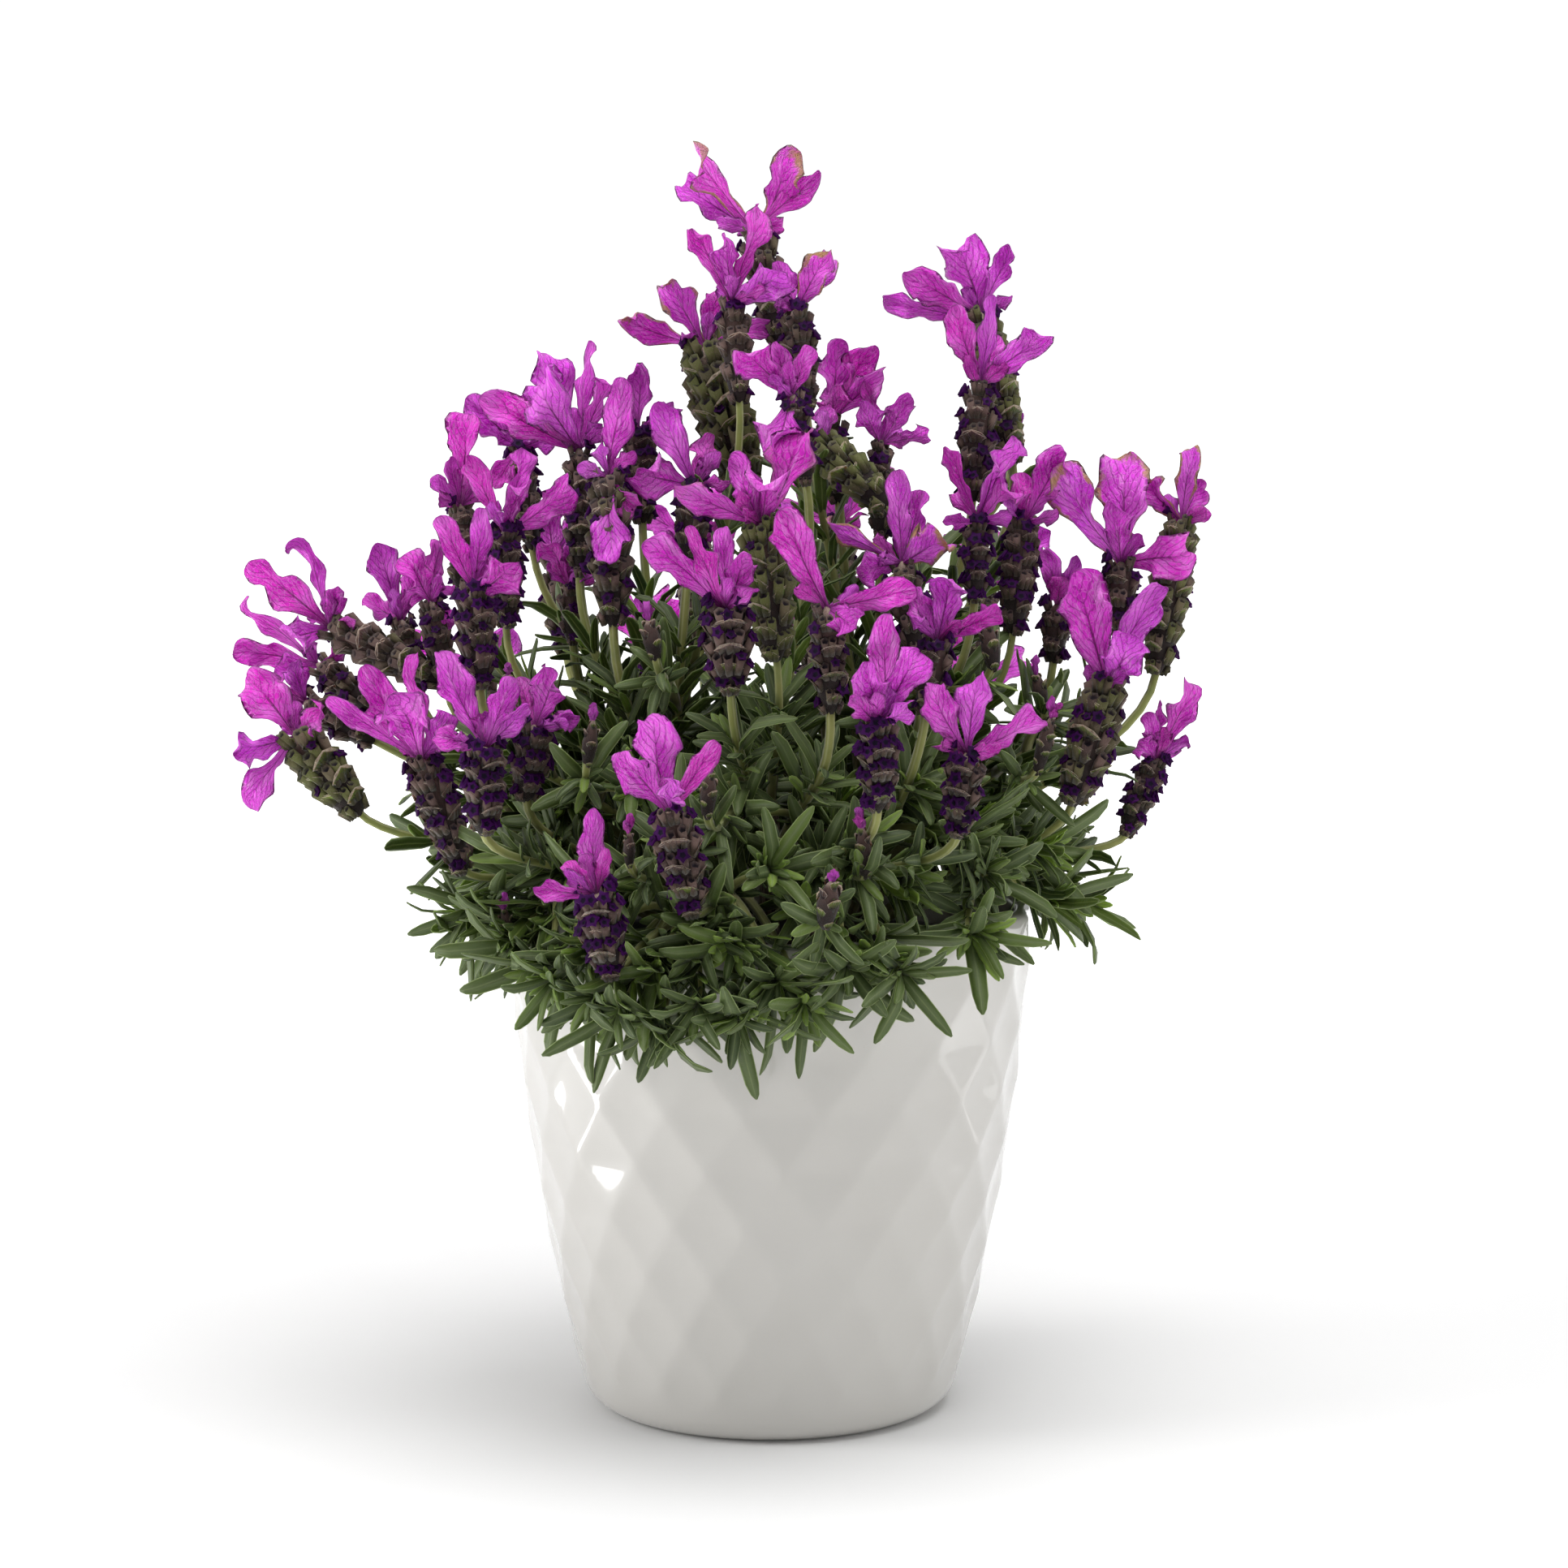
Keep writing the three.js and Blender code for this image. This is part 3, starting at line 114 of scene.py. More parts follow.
# Open spikes: name, tip, foot, radius, look, bracts. A look is (how green its scales are, how many of
# its florets are open, how dried its bracts are), each from 0 to 1. A bract is (degrees from upright as
# seen from the front, lean toward the front, length, width).
BLOOMS = [
    ("crown_1", (-4, 12, 324), (3, 10, 292), 5.2, (0.35, 0.2, 0.5),
     [(-35, 0.2, 27, 8), (24, 0.1, 23, 10), (-59, -0.2, 24, 8), (48, -0.3, 22, 7)]),
    ("crown_2", (-10, -7, 305), (-8, -10, 277), 4.6, (0.2, 0.3, 0),
     [(-26, 0.2, 23, 5.5), (60, 0.4, 18, 10), (-5, 0.4, 18, 8), (18, 0.1, 25, 7)]),
    ("crown_3", (7, -8, 303), (10, -6, 275), 4.8, (0.3, 0.5, 0.6),
     [(29, 0.2, 17, 8), (34, -0.5, 19, 5), (-20, -0.6, 14, 7), (-50, 0.6, 8, 5)]),
    ("crown_4", (-18, 14, 292), (-6, 16, 250), 8, (0.9, 0.1, 0.5),
     [(-70, 0.1, 26, 7), (-28, 0.3, 21, 8.5), (72, 0.3, 21, 6), (14, -0.3, 17, 7)]),
    ("crown_5", (6, -28, 281), (10, -25, 256), 4, (0.3, 0.3, 0),
     [(-46, 0.3, 19, 9.5), (200, 0.7, 18, 11), (-18, -0.2, 14, 6), (22, 0.1, 13, 6)]),
    ("crown_6", (17, 4, 273), (19, 3, 249), 4.4, (0.3, 0.3, 0),
     [(7, -0.2, 21, 9), (25, -0.4, 22, 8), (45, 0.3, 18, 7), (0, 0.9, 11, 9)]),
    ("crown_7", (30, -6, 267), (30, -7, 240), 3.8, (0.3, 0.2, 0),
     [(-23, 0.3, 12, 7), (30, 0.1, 15, 6), (78, 0.2, 14, 5), (-12, -0.5, 17, 4)]),
    ("crown_8", (13, -12, 267), (32, -16, 250), 6, (0.9, 0.05, 0),
     [(-50, -0.4, 14, 8), (-80, 0.3, 12, 7), (10, 0.2, 10, 6)]),
    ("peak_1", (58, 20, 301), (67, 17, 259), 5.8, (0.8, 0.2, 0),
     [(-19, 0.1, 20, 12), (-60, 0.2, 23, 9), (-81, -0.1, 25, 6.5), (25, -0.1, 20, 6)]),
    ("peak_2", (57, -2, 282), (55, -4, 250), 5, (0.2, 0.8, 0),
     [(-15, 0.2, 22, 8), (50, 0.1, 23, 9), (8, 0.3, 23, 5), (20, -0.6, 15, 7)]),
    ("centre_1", (-2, -44, 248), (2, -42, 211), 6.6, (0.95, 0.1, 0.3),
     [(-66, 0.2, 23, 7), (22, -0.1, 26, 10), (-18, -0.3, 18, 8), (2, 0.5, 14, 9)]),
    ("centre_2", (-11, -61, 227), (-10, -57, 204), 6.4, (0.1, 0.9, 0),
     [(-46, 0.1, 27, 9), (-19, 0.2, 23, 6), (18, 0.1, 17, 7), (-4, -0.3, 21, 5)]),
    ("centre_3", (15, -66, 228), (16, -61, 199), 4.9, (0.3, 0.3, 0),
     [(-26, 0.1, 26, 10), (77, 0.2, 22, 8), (-22, -0.4, 27, 6), (120, 0.9, 10, 9)]),
    ("centre_4", (-20, -16, 256), (-22, -17, 233), 4.6, (0.1, 0.7, 0),
     [(-24, 0.1, 23, 8), (-75, 0.2, 17, 11), (20, -0.5, 15, 7)]),
    ("left_1", (-52, 4, 265), (-52, 2, 229), 4.4, (0.2, 0.5, 0),
     [(-62, 0.2, 28, 9.5), (-28, 0.3, 24, 13), (-19, -0.4, 29, 9), (23, 0.1, 22, 7), (3, -0.3, 28, 5)]),
    ("left_2", (-70, 28, 264), (-66, 25, 234), 4, (0.2, 0.3, 0),
     [(-46, 0, 18, 9), (-150, 0.3, 13, 6), (5, -0.5, 14, 6), (70, 0.2, 9, 7)]),
    ("left_3", (-36, 12, 270), (-35, 10, 243), 4.6, (0.2, 0.5, 0),
     [(-2, 0.1, 18, 8), (-25, -0.4, 14, 6), (60, -0.3, 12, 5)]),
    ("left_4", (-43, -20, 259), (-42, -22, 218), 6, (0.4, 0.35, 0),
     [(10, -0.1, 24, 8.5), (178, 0.5, 23, 9), (141, 0.3, 11, 6)]),
    ("left_5", (-85, 10, 249), (-85, 8, 225), 4.2, (0.2, 0.4, 0),
     [(4, 0.1, 23, 9), (-10, 0.5, 15, 4.5), (59, -0.2, 9, 5)]),
    ("left_6", (-71, -18, 244), (-71, -18, 217), 4.6, (0.1, 0.9, 0),
     [(-27, -0.1, 21, 6), (10, -0.3, 21, 7), (55, 0.1, 21, 9), (22, 0.5, 17, 6)]),
    ("left_7", (-78, -40, 230), (-77, -38, 203), 5.3, (0.15, 0.9, 0),
     [(-25, 0.1, 20, 7), (6, -0.1, 20, 6), (56, 0.3, 14, 10)]),
    ("left_8", (-102, 12, 217), (-97, 9, 196), 4, (0.2, 0.4, 0),
     [(-16, 0, 22, 8), (20, -0.5, 16, 7), (-60, -0.4, 12, 6)]),
    ("left_9", (-92, -8, 224), (-88, -9, 200), 4, (0.2, 0.4, 0),
     [(8, -0.2, 16, 6), (-26, 0.3, 14, 9), (138, 0.3, 8, 5)]),
    ("left_10", (-55, 6, 227), (-54, 6, 210), 3.6, (0.2, 0.4, 0),
     [(-27, 0.3, 15, 7), (9, 0.2, 13, 6), (40, 0.6, 9, 5)]),
    ("far_left_1", (-120, -6, 217), (-89, -8, 202), 5.6, (0.4, 0.2, 0),
     [(-50, 0.1, 26, 10), (-22, -0.1, 27, 5), (10, 0.2, 12, 6), (-100, 0.6, 14, 9)]),
    ("far_left_2", (-126, 18, 204), (-108, 16, 190), 4.4, (0.3, 0.3, 0),
     [(-54, -0.1, 28, 5), (-79, 0.1, 24, 8), (-100, 0.5, 12, 8)]),
    ("far_left_3", (-129, -14, 188), (-111, -14, 166), 6.6, (0.85, 0.15, 0),
     [(-36, -0.1, 20, 12), (56, 0.5, 13, 9), (-95, 0.3, 17, 9), (215, 0.2, 22, 7)]),
    ("far_left_4", (-128, 4, 195), (-108, 3, 184), 4.8, (0.3, 0.3, 0),
     [(-17, 0.2, 12, 6), (-61, -0.2, 10, 6), (-90, -0.5, 12, 6)]),
    ("low_left_1", (-92, -46, 186), (-81, -41, 154), 5.4, (0.1, 0.75, 0),
     [(-30, 0.1, 27, 9), (-19, 0.6, 22, 13), (-57, 0.2, 27, 5), (33, 0.2, 15, 9), (-9, -0.3, 28, 6)]),
    ("low_left_2", (-74, -62, 191), (-75, -58, 167), 5.4, (0.1, 0.9, 0),
     [(-27, -0.2, 25, 9), (21, 0.1, 19, 7), (43, 0.3, 15, 6), (-70, 0.5, 13, 6)]),
    ("low_left_3", (-62, -40, 194), (-65, -38, 173), 5, (0.1, 0.5, 0),
     [(20, 0.1, 16, 10), (69, 0.2, 12, 5), (-20, -0.5, 14, 7)]),
    ("far_right_1", (95, -10, 235), (96, -9, 213), 4.8, (0.2, 0.5, 0.5),
     [(-35, 0.1, 29, 11), (3, -0.1, 28, 13), (83, 0.2, 18, 11), (-8, 0.5, 18, 8)]),
    ("far_right_2", (113, 8, 245), (106, 4, 202), 5.6, (0.75, 0.15, 0.7),
     [(7, 0.1, 20, 6.5), (-40, -0.3, 15, 8), (30, -0.5, 13, 7)]),
    ("far_right_3", (79, 6, 222), (78, 6, 205), 4.2, (0.2, 0.6, 0),
     [(-14, 0.1, 16, 5.5), (20, 0.2, 15, 4), (5, 0.7, 9, 6)]),
    ("far_right_4", (90, -34, 204), (81, -32, 171), 6.6, (0.55, 0.3, 0),
     [(-17, 0.1, 30, 14), (28, -0.2, 31, 8), (23, 0.5, 16, 12)]),
    ("far_right_5", (107, 8, 179), (98, 4, 157), 4, (0.2, 0.9, 0),
     [(26, 0.1, 23, 8), (4, -0.2, 15, 4), (-12, 0.3, 13, 5), (-40, 0.6, 9, 7)]),
    ("right_1", (56, -20, 247), (55, -21, 224), 4, (0.1, 0.9, 0),
     [(-20, 0.1, 21, 5), (19, 0.2, 23, 10), (42, 0.5, 15, 6), (-90, 0.2, 9, 4)]),
    ("right_2", (69, -6, 246), (66, -8, 214), 4.8, (0.1, 0.8, 0),
     [(28, 0.1, 21, 9.5), (-31, 0.5, 10, 7), (0, -0.7, 14, 7)]),
    ("right_3", (35, -34, 237), (40, -34, 208), 4.8, (0.3, 0.4, 0.6),
     [(-63, 0.1, 24, 5), (54, 0.5, 14, 11), (-4, -0.2, 22, 7), (18, -0.4, 19, 7), (-95, 0.5, 12, 8)]),
    ("right_4", (44, -52, 218), (41, -51, 197), 4.6, (0.2, 0.7, 0),
     [(13, 0.1, 19, 10), (63, 0.2, 19, 6), (-25, -0.4, 14, 7)]),
    ("right_5", (28, -84, 200), (28, -79, 176), 5, (0.15, 0.8, 0),
     [(3, -0.2, 26, 8), (27, 0.1, 20, 9), (-12, 0.4, 16, 8), (-40, 0.3, 11, 6), (54, 0.4, 10, 6)]),
    ("right_6", (51, -74, 191), (49, -70, 168), 4.9, (0.15, 0.6, 0),
     [(-28, 0.1, 20, 8), (9, -0.1, 21, 8), (62, 0.2, 21, 8)]),
    ("front_1", (-25, -92, 178), (-19, -87, 150), 5.8, (0.15, 0.85, 0),
     [(-42, 0.1, 19, 9), (-9, -0.2, 24, 10), (12, 0.7, 12, 8), (32, 0.1, 20, 6)]),
    ("front_2", (-44, -92, 157), (-40, -88, 134), 5.8, (0.05, 1, 0),
     [(-3, -0.1, 20, 6.5), (12, 0.3, 12, 4), (-81, 0.1, 15, 5), (-40, 0.2, 11, 5)]),
    ("back_1", (-62, 58, 230), (-58, 53, 202), 4.8, (0.3, 0.4, 0),
     [(-30, -0.5, 22, 9), (35, -0.6, 20, 8), (-5, 0.5, 17, 8), (70, -0.2, 19, 7)]),
    ("back_2", (-22, 72, 234), (-20, 66, 202), 5.4, (0.3, 0.4, 0),
     [(-60, -0.4, 22, 8), (15, -0.7, 23, 9), (-10, 0.4, 18, 7), (55, 0.1, 18, 7)]),
    ("back_3", (20, 66, 240), (18, 60, 208), 5.2, (0.3, 0.4, 0),
     [(-35, -0.3, 20, 9), (40, -0.5, 24, 8), (5, 0.5, 16, 8), (-75, 0.1, 17, 6)]),
    ("back_4", (62, 58, 222), (57, 53, 193), 4.8, (0.3, 0.4, 0),
     [(-25, -0.5, 22, 8), (50, -0.3, 23, 9), (10, 0.4, 17, 7)]),
    ("back_5", (-86, 72, 196), (-77, 65, 169), 5, (0.3, 0.4, 0),
     [(-55, -0.3, 22, 9), (0, -0.6, 21, 8), (40, 0.2, 17, 8)]),
    ("back_6", (-36, 98, 200), (-32, 90, 172), 5.2, (0.3, 0.4, 0),
     [(-40, -0.5, 22, 9), (25, -0.6, 21, 9), (-10, 0.4, 17, 7), (70, -0.1, 18, 7)]),
    ("back_7", (14, 100, 206), (12, 92, 177), 5, (0.3, 0.4, 0),
     [(-20, -0.7, 22, 8), (45, -0.4, 21, 9), (-65, -0.1, 19, 7), (5, 0.5, 16, 8)]),
    ("back_8", (60, 90, 186), (54, 82, 158), 5, (0.3, 0.4, 0),
     [(-15, -0.5, 21, 9), (50, -0.5, 23, 8), (-60, 0.1, 18, 7)]),
]

# Unopened buds: tip, foot, radius
BUDS = [
    ((-70, -30, 206), (-68, -30, 194), 3.6),
    ((-15, -80, 187), (-16, -78, 174), 3),
    ((58, -31, 220), (60, -31, 207), 3.6),
    ((-32, -40, 222), (-30, -40, 211), 3.4),
    ((72, -16, 205), (74, -16, 195), 3),
    ((-46, -54, 197), (-48, -52, 184), 2.8),
    ((75, -38, 196), (71, -37, 180), 3),
    ((24, -77, 172), (25, -75, 158), 3),
    ((16, -102, 162), (14, -99, 149), 4),
    ((-36, -78, 171), (-36, -76, 161), 2.2),
    ((-70, -52, 147), (-69, -51, 138), 2.2),
    ((70, 36, 270), (68, 34, 258), 2.6),
    ((-98, 40, 176), (-92, 38, 165), 2.6),
    ((94, 42, 190), (89, 40, 178), 2.8),
    ((-10, 112, 168), (-9, 106, 156), 2.6),
]

# Leafy shoots that spill over the front of the rim: where each one ends, and how they dip there
FRONT_SHOOTS = [
    (-38, -85, 126), (-18, -88, 128), (9, -87, 128), (34, -82, 135), (-55, -70, 131),
    (-80, -24, 140), (-68, -48, 140),
]
FRONT_DIP = -12
# Leafy shoots that fill the sides and back: a fan between two turns, stepped by the golden section
FILL_SHOOTS = {"count": 8, "from_turn": -12, "to_turn": 192, "outer": 90, "inner": 40, "low": 140,
               "high": 186, "golden": 0.618}
FILL_RISE = 45
# Finer sprigs that hide the rim along the front and left, and some that close gaps inside the bush
RIM_SPRIGS = [
    (2, -84, 133), (20, -83, 137), (-9, -80, 142), (-29, -80, 136), (-46, -72, 139), (-66, -52, 137),
    (-78, -36, 143), (-28, -86, 122), (-45, -80, 128), (-8, -87, 124), (9, -66, 150),
    (51, -46, 164), (72, -22, 158), (-6, 38, 157), (43, 22, 155), (50, 46, 151), (-30, 30, 160),
    (-12, 58, 150),
]
RIM_DIP = 5
# Finer sprigs that close the bush: they end on or under a dome over the pot, turned by the golden angle,
# and point up in the middle and more outward toward its edge
SPRIGS = {"count": 56, "inner": 12, "outer": 85, "crest": 206, "fall": 0.0078, "golden_turn": 137.5,
          "deepest": 22, "rise": (90, 26)}

# The floor's rings, and how far it lies under the pot
FLOOR = {"radii": (600, 2000, 9000), "around": 48, "drop": 0.05}
# Lamps: name, place and aim in metres, width, height and watts
LAMPS = [
    ("overhead", (0.1, -0.2, 1.4), (0, 0, 0.1), 1.0, 1.0, 15),
    ("left_window", (-1.3, -0.3, 0.6), (0, 0, 0.15), 0.6, 0.9, 8),
    ("right_window", (1.2, -0.5, 0.6), (0, 0, 0.15), 0.6, 0.9, 2.5),
    ("left_glow", (-0.32, -0.04, 0.004), (-0.32, -0.04, 1), 0.15, 0.1, 0.4),
    ("right_glow", (0.34, 0.02, 0.004), (0.34, 0.02, 1), 0.15, 0.14, 0.06),
]
# The camera's place in metres, its degrees up from straight down, its lens and its sensor in millimetres
CAMERA = {"place": (0.0039, -1.2, 0.335), "tip": 82.3, "lens": 101.18, "sensor": 36}


# Numbers and directions

def unit(vectors):
    """Each vector divided by its own length."""
    return vectors / np.linalg.norm(vectors, axis=-1, keepdims=True)


def mix(a, b, share):
    """The point that lies a share of the way from a to b."""
    return a + (b - a) * share


def smooth(low, high, x):
    """0 below low, 1 above high, and an S-shaped rise between."""
    share = np.clip((x - low) / (high - low), 0, 1)
    return share * share * (3 - 2 * share)


def chance(place):
    """A repeatable number from 0 to 1 for each place: the fraction of a large multiple of its sine."""
    wide = np.sin(np.asarray(place, float) * 12.9898) * 43758.5453
    return wide - np.floor(wide)


def spread(place, reach):
    """chance() spread evenly over both sides of zero."""
    return (2 * chance(place) - 1) * reach


def any_turn(place):
    """A repeatable turn for each place, up to a whole one."""
    return 6.28 * chance(place)


def each(values):
    """One number for each copy, ready to spread over its rows and rings."""
    return values[:, None, None]


def around(degrees, radius, z):
    """Points at a turn, radius and height about the pot's axis."""
    turn = np.radians(degrees)
    x, y, z = np.broadcast_arrays(radius * np.cos(turn), radius * np.sin(turn), z)
    return np.stack([x, y, z], -1).astype(float)


def swing(first, second, turn):
    """The direction reached by a turn from first toward second: first cos + second sin."""
    turn = np.asarray(turn)[..., None]
    return first * np.cos(turn) + second * np.sin(turn)


def square_axes(heading, spin=0.0):
    """Two directions square to each heading and to each other, turned about it by spin: the first is
    square to north, or to east where the heading is close to north."""
    ahead = np.where(np.abs(heading[..., 1:2]) < 0.9, [[0.0, 1.0, 0.0]], [[1.0, 0.0, 0.0]])
    first = unit(np.cross(ahead, heading))
    second = np.cross(heading, first)
    return swing(first, second, spin), swing(second, -first, spin)


def pick(table, chosen):
    """The chosen rows of a table of arrays."""
    return {key: column[chosen] for key, column in table.items()}


# Meshes

def shell(rings, across, along, tone):
    """Closed skins, each over its own stack of rings: rings is (copies, rows, round, 3) in millimetres.

    Each ring turns from its side direction to its upper one, seen from the last row, so faces look
    outward. Both ends close in a fan to the middle of the end ring. across and along are the surface's
    two coordinates, and tone its three numbers; each spreads over (copies, rows, round).
    """
    copies, rows, count, _ = rings.shape
    values = [np.broadcast_to(v, (copies, rows, count)) for v in (across, along, *tone, 1)]
    values = np.stack([v.astype(float) for v in values], -1)
    points = np.concatenate([rings.reshape(copies, -1, 3), rings[:, [0, -1]].mean(2)], 1)
    data = np.concatenate([values.reshape(copies, -1, values.shape[-1]), values[:, [0, -1]].mean(2)], 1)
    here = np.arange(count)
    there = np.roll(here, -1)
    row = np.arange(rows - 1)[:, None] * count
    quads = np.stack([row + here, row + there, row + count + there, row + count + here], -1).reshape(-1, 4)
    foot, last = rows * count, (rows - 1) * count
    fans = np.concatenate([np.stack([np.full(count, foot), there, here], -1),
                           np.stack([np.full(count, foot + 1), last + here, last + there], -1)])
    step = each(np.arange(copies) * (foot + 2))
    return {"points": points.reshape(-1, 3), "data": data.reshape(-1, values.shape[-1]),
            "quads": (quads + step).reshape(-1, 4), "fans": (fans + step).reshape(-1, 3), "material": 0}


def piece(name, shells, materials, nodes):
    """One object from closed skins, riding on the body and standing for the named nodes."""
    points = np.concatenate([s["points"] for s in shells]) * MM
    data = np.concatenate([s["data"] for s in shells])
    starts = np.cumsum([0] + [len(s["points"]) for s in shells])
    corners, sizes, paints = [], [], []
    for made, start in zip(shells, starts):
        for faces in (made["quads"], made["fans"]):
            corners.append((faces + start).ravel())
            sizes.append(np.full(len(faces), faces.shape[1]))
            paints.append(np.full(len(faces), made["material"]))
    corners, sizes, paints = (np.concatenate(v).astype(np.int32) for v in (corners, sizes, paints))
    mesh = bpy.data.meshes.new(name)
    mesh.vertices.add(len(points))
    mesh.vertices.foreach_set("co", points.astype(np.float32).ravel())
    mesh.loops.add(len(corners))
    mesh.loops.foreach_set("vertex_index", corners)
    mesh.polygons.add(len(sizes))
    mesh.polygons.foreach_set("loop_start", (np.cumsum(sizes) - sizes).astype(np.int32))
    mesh.polygons.foreach_set("material_index", paints)
    mesh.update(calc_edges=True)
    mesh.shade_smooth()
    layer = mesh.uv_layers.new(name="surface")
    layer.data.foreach_set("uv", data[corners, :2].astype(np.float32).ravel())
    layer = mesh.attributes.new("tone", "FLOAT_COLOR", "POINT")
    layer.data.foreach_set("color", data[:, 2:].astype(np.float32).ravel())
    for material in materials:
        mesh.materials.append(material)
    made = bpy.data.objects.new(name, mesh)
    bpy.context.scene.collection.objects.link(made)
    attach(made, "root")
    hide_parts(*nodes)


def rings_about(line, side, up, wide, high):
    """Rings about centre lines: each point is line + side wide + up high. line is (copies, rows, 3), side
    and up are too or (copies, 3), and wide and high are (copies, rows, round)."""
    side, up = (v if v.ndim == 3 else v[:, None] for v in (side, up))
    return line[:, :, None] + side[:, :, None] * wide[..., None] + up[:, :, None] * high[..., None]


def tubes(line, side, up, radius):
    """Rings of a radius, given side by side, about centre lines. They turn from side to up."""
    turn = 2 * np.pi * np.arange(radius.shape[-1]) / radius.shape[-1]
    return rings_about(line, side, up, radius * np.cos(turn), radius * np.sin(turn))


def blade_loop(samples):
    """The way round a thin blade's section: across the top from +1 to -1, and back beneath.

    Returns each point's place across, from -1 to 1, and its side, 1 above and -1 beneath.
    """
    top = np.linspace(1, -1, samples)
    return np.concatenate([top, -top[1:-1]]), np.concatenate([np.ones(samples), -np.ones(samples - 2)])


def blade_line(root, heading, side, length, t, angle):
    """A blade's centre line at the shares t of its length, bent about its side direction: it points along
    heading cos(angle) + (side x heading) sin(angle). angle is (copies, rows). Returns the line, its
    direction and its normal."""
    way = swing(heading[:, None], np.cross(side, heading)[:, None], angle)
    steps = 0.5 * (way[:, 1:] + way[:, :-1]) * (each(length) * np.diff(t)[:, None])
    line = root[:, None] + np.concatenate([np.zeros_like(way[:, :1]), np.cumsum(steps, 1)], 1)
    return line, way, np.cross(way, np.broadcast_to(side[:, None], way.shape))


# Pots and soil. Two level directions serve the tubes that stand upright.
EAST, NORTH = np.array([[1.0, 0, 0]]), np.array([[0, 1.0, 0]])


def cover_radius(z):
    """The cover pot's radius at a height: a parabola in the height."""
    return COVER["foot"] + COVER["flare"] * z + COVER["bow"] * z * z


def net_corner(p, q):
    """The corner of the net that lies p diamonds along one slant and q along the other: it is on the
    swelling wall, turned half a step for each row."""
    z = RISE * (p + q)
    return around(COVER["first_corner"] + STEP * (p - q) / 2, cover_radius(z), z)


def diamond_net(degrees, z):
    """Points of the diamond net. A diamond is two flat triangles that meet on its level diagonal. Nine
    close points are averaged, which rounds the facets' edges."""
    total = 0
    for near in range(9):
        x = (degrees - COVER["first_corner"]) / STEP
        p = x + z / RISE / 2 + (near // 3 - 1) * GLAZE["edge"]
        q = z / RISE / 2 - x + (near % 3 - 1) * GLAZE["edge"]
        low_p, low_q = np.floor(p), np.floor(q)
        a, b = (p - low_p)[..., None], (q - low_q)[..., None]
        foot, left, right, head = (net_corner(low_p + i, low_q + j) for i in (0, 1) for j in (0, 1))
        lower = foot + (right - foot) * a + (left - foot) * b
        upper = head + (left - head) * (1 - a) + (right - head) * (1 - b)
        total = total + np.where(a + b < 1, lower, upper) / 9
    return total


def cover_pot():
    """The cover pot as one turned skin: underside, rounded foot, faceted wall, rounded rim, inner wall
    and floor. The outer wall goes from a plain foot to the diamond net and past it, by the relief."""
    count = 2 * CUT["facet"] * COVER["sides"]
    degrees = (COVER["first_corner"] + np.arange(count) * 360 / count)[None]
    foot, rim, top = GLAZE["foot_round"], GLAZE["rim_round"], COVER["height"]
    low, corner = COVER["floor"], GLAZE["inner_round"]
    bend = np.linspace(0, np.pi / 2, CUT["arc"])[1:]
    sine, cosine = np.sin(bend), np.cos(bend)
    step = RISE / CUT["facet"]
    wall = np.arange(np.ceil(foot / step + 0.4), (top - rim) / step - 0.3) * step
    wall = np.concatenate([[foot], wall, [top - rim]])
    z = np.concatenate([np.zeros(3), foot * (1 - cosine[:-1]), wall, top - rim + rim * sine])[:, None]
    inset = np.concatenate([[*CUT["disc"], foot], foot * (1 - sine[:-1]), 0 * wall, rim * (1 - cosine)])
    plain = around(degrees, GLAZE["plain"] * cover_radius(z), z)
    deepened = GLAZE["relief"] * smooth(GLAZE["fade_from"], GLAZE["fade_to"], z)[..., None]
    outer = mix(plain, diamond_net(degrees, z), deepened)
    outer = (outer - unit(outer * [1, 1, 0]) * each(inset)) * [1, 1, 0] + z[..., None] * [0, 0, 1]
    inside = np.concatenate([top - rim + rim * cosine, np.linspace(top - CUT["inner_drop"], low + corner,
                                                                   CUT["inner_rows"]),
                             low + corner * (1 - sine[1::2]), [low]])
    into = np.concatenate([-rim * (1 - sine), np.zeros(CUT["inner_rows"]), corner * (1 - cosine[1::2]),
                           CUT["disc"][:1]])
    hollow = GLAZE["plain"] * cover_radius(inside) - COVER["wall"] - into
    rings = np.concatenate([outer, around(degrees, hollow[:, None], inside[:, None])])[None]
    piece("glazed_cover_pot", [shell(rings, 0, 0, (0, 0, 0))], [glaze()], ["cover_pot"])


def turned(profile, count):
    """A profile of (radius, height) turned about the pot's axis, in rings from its first point."""
    radius, z = np.array(profile, float).T
    return around((np.arange(count) * 360 / count)[None], radius[:, None], z[:, None])[None]


def inner_radius(z):
    """The growing pot's outer radius at a height: straight from foot to top."""
    return mix(INNER["foot"], INNER["top"], (z - INNER["bottom"]) / INNER["height"])


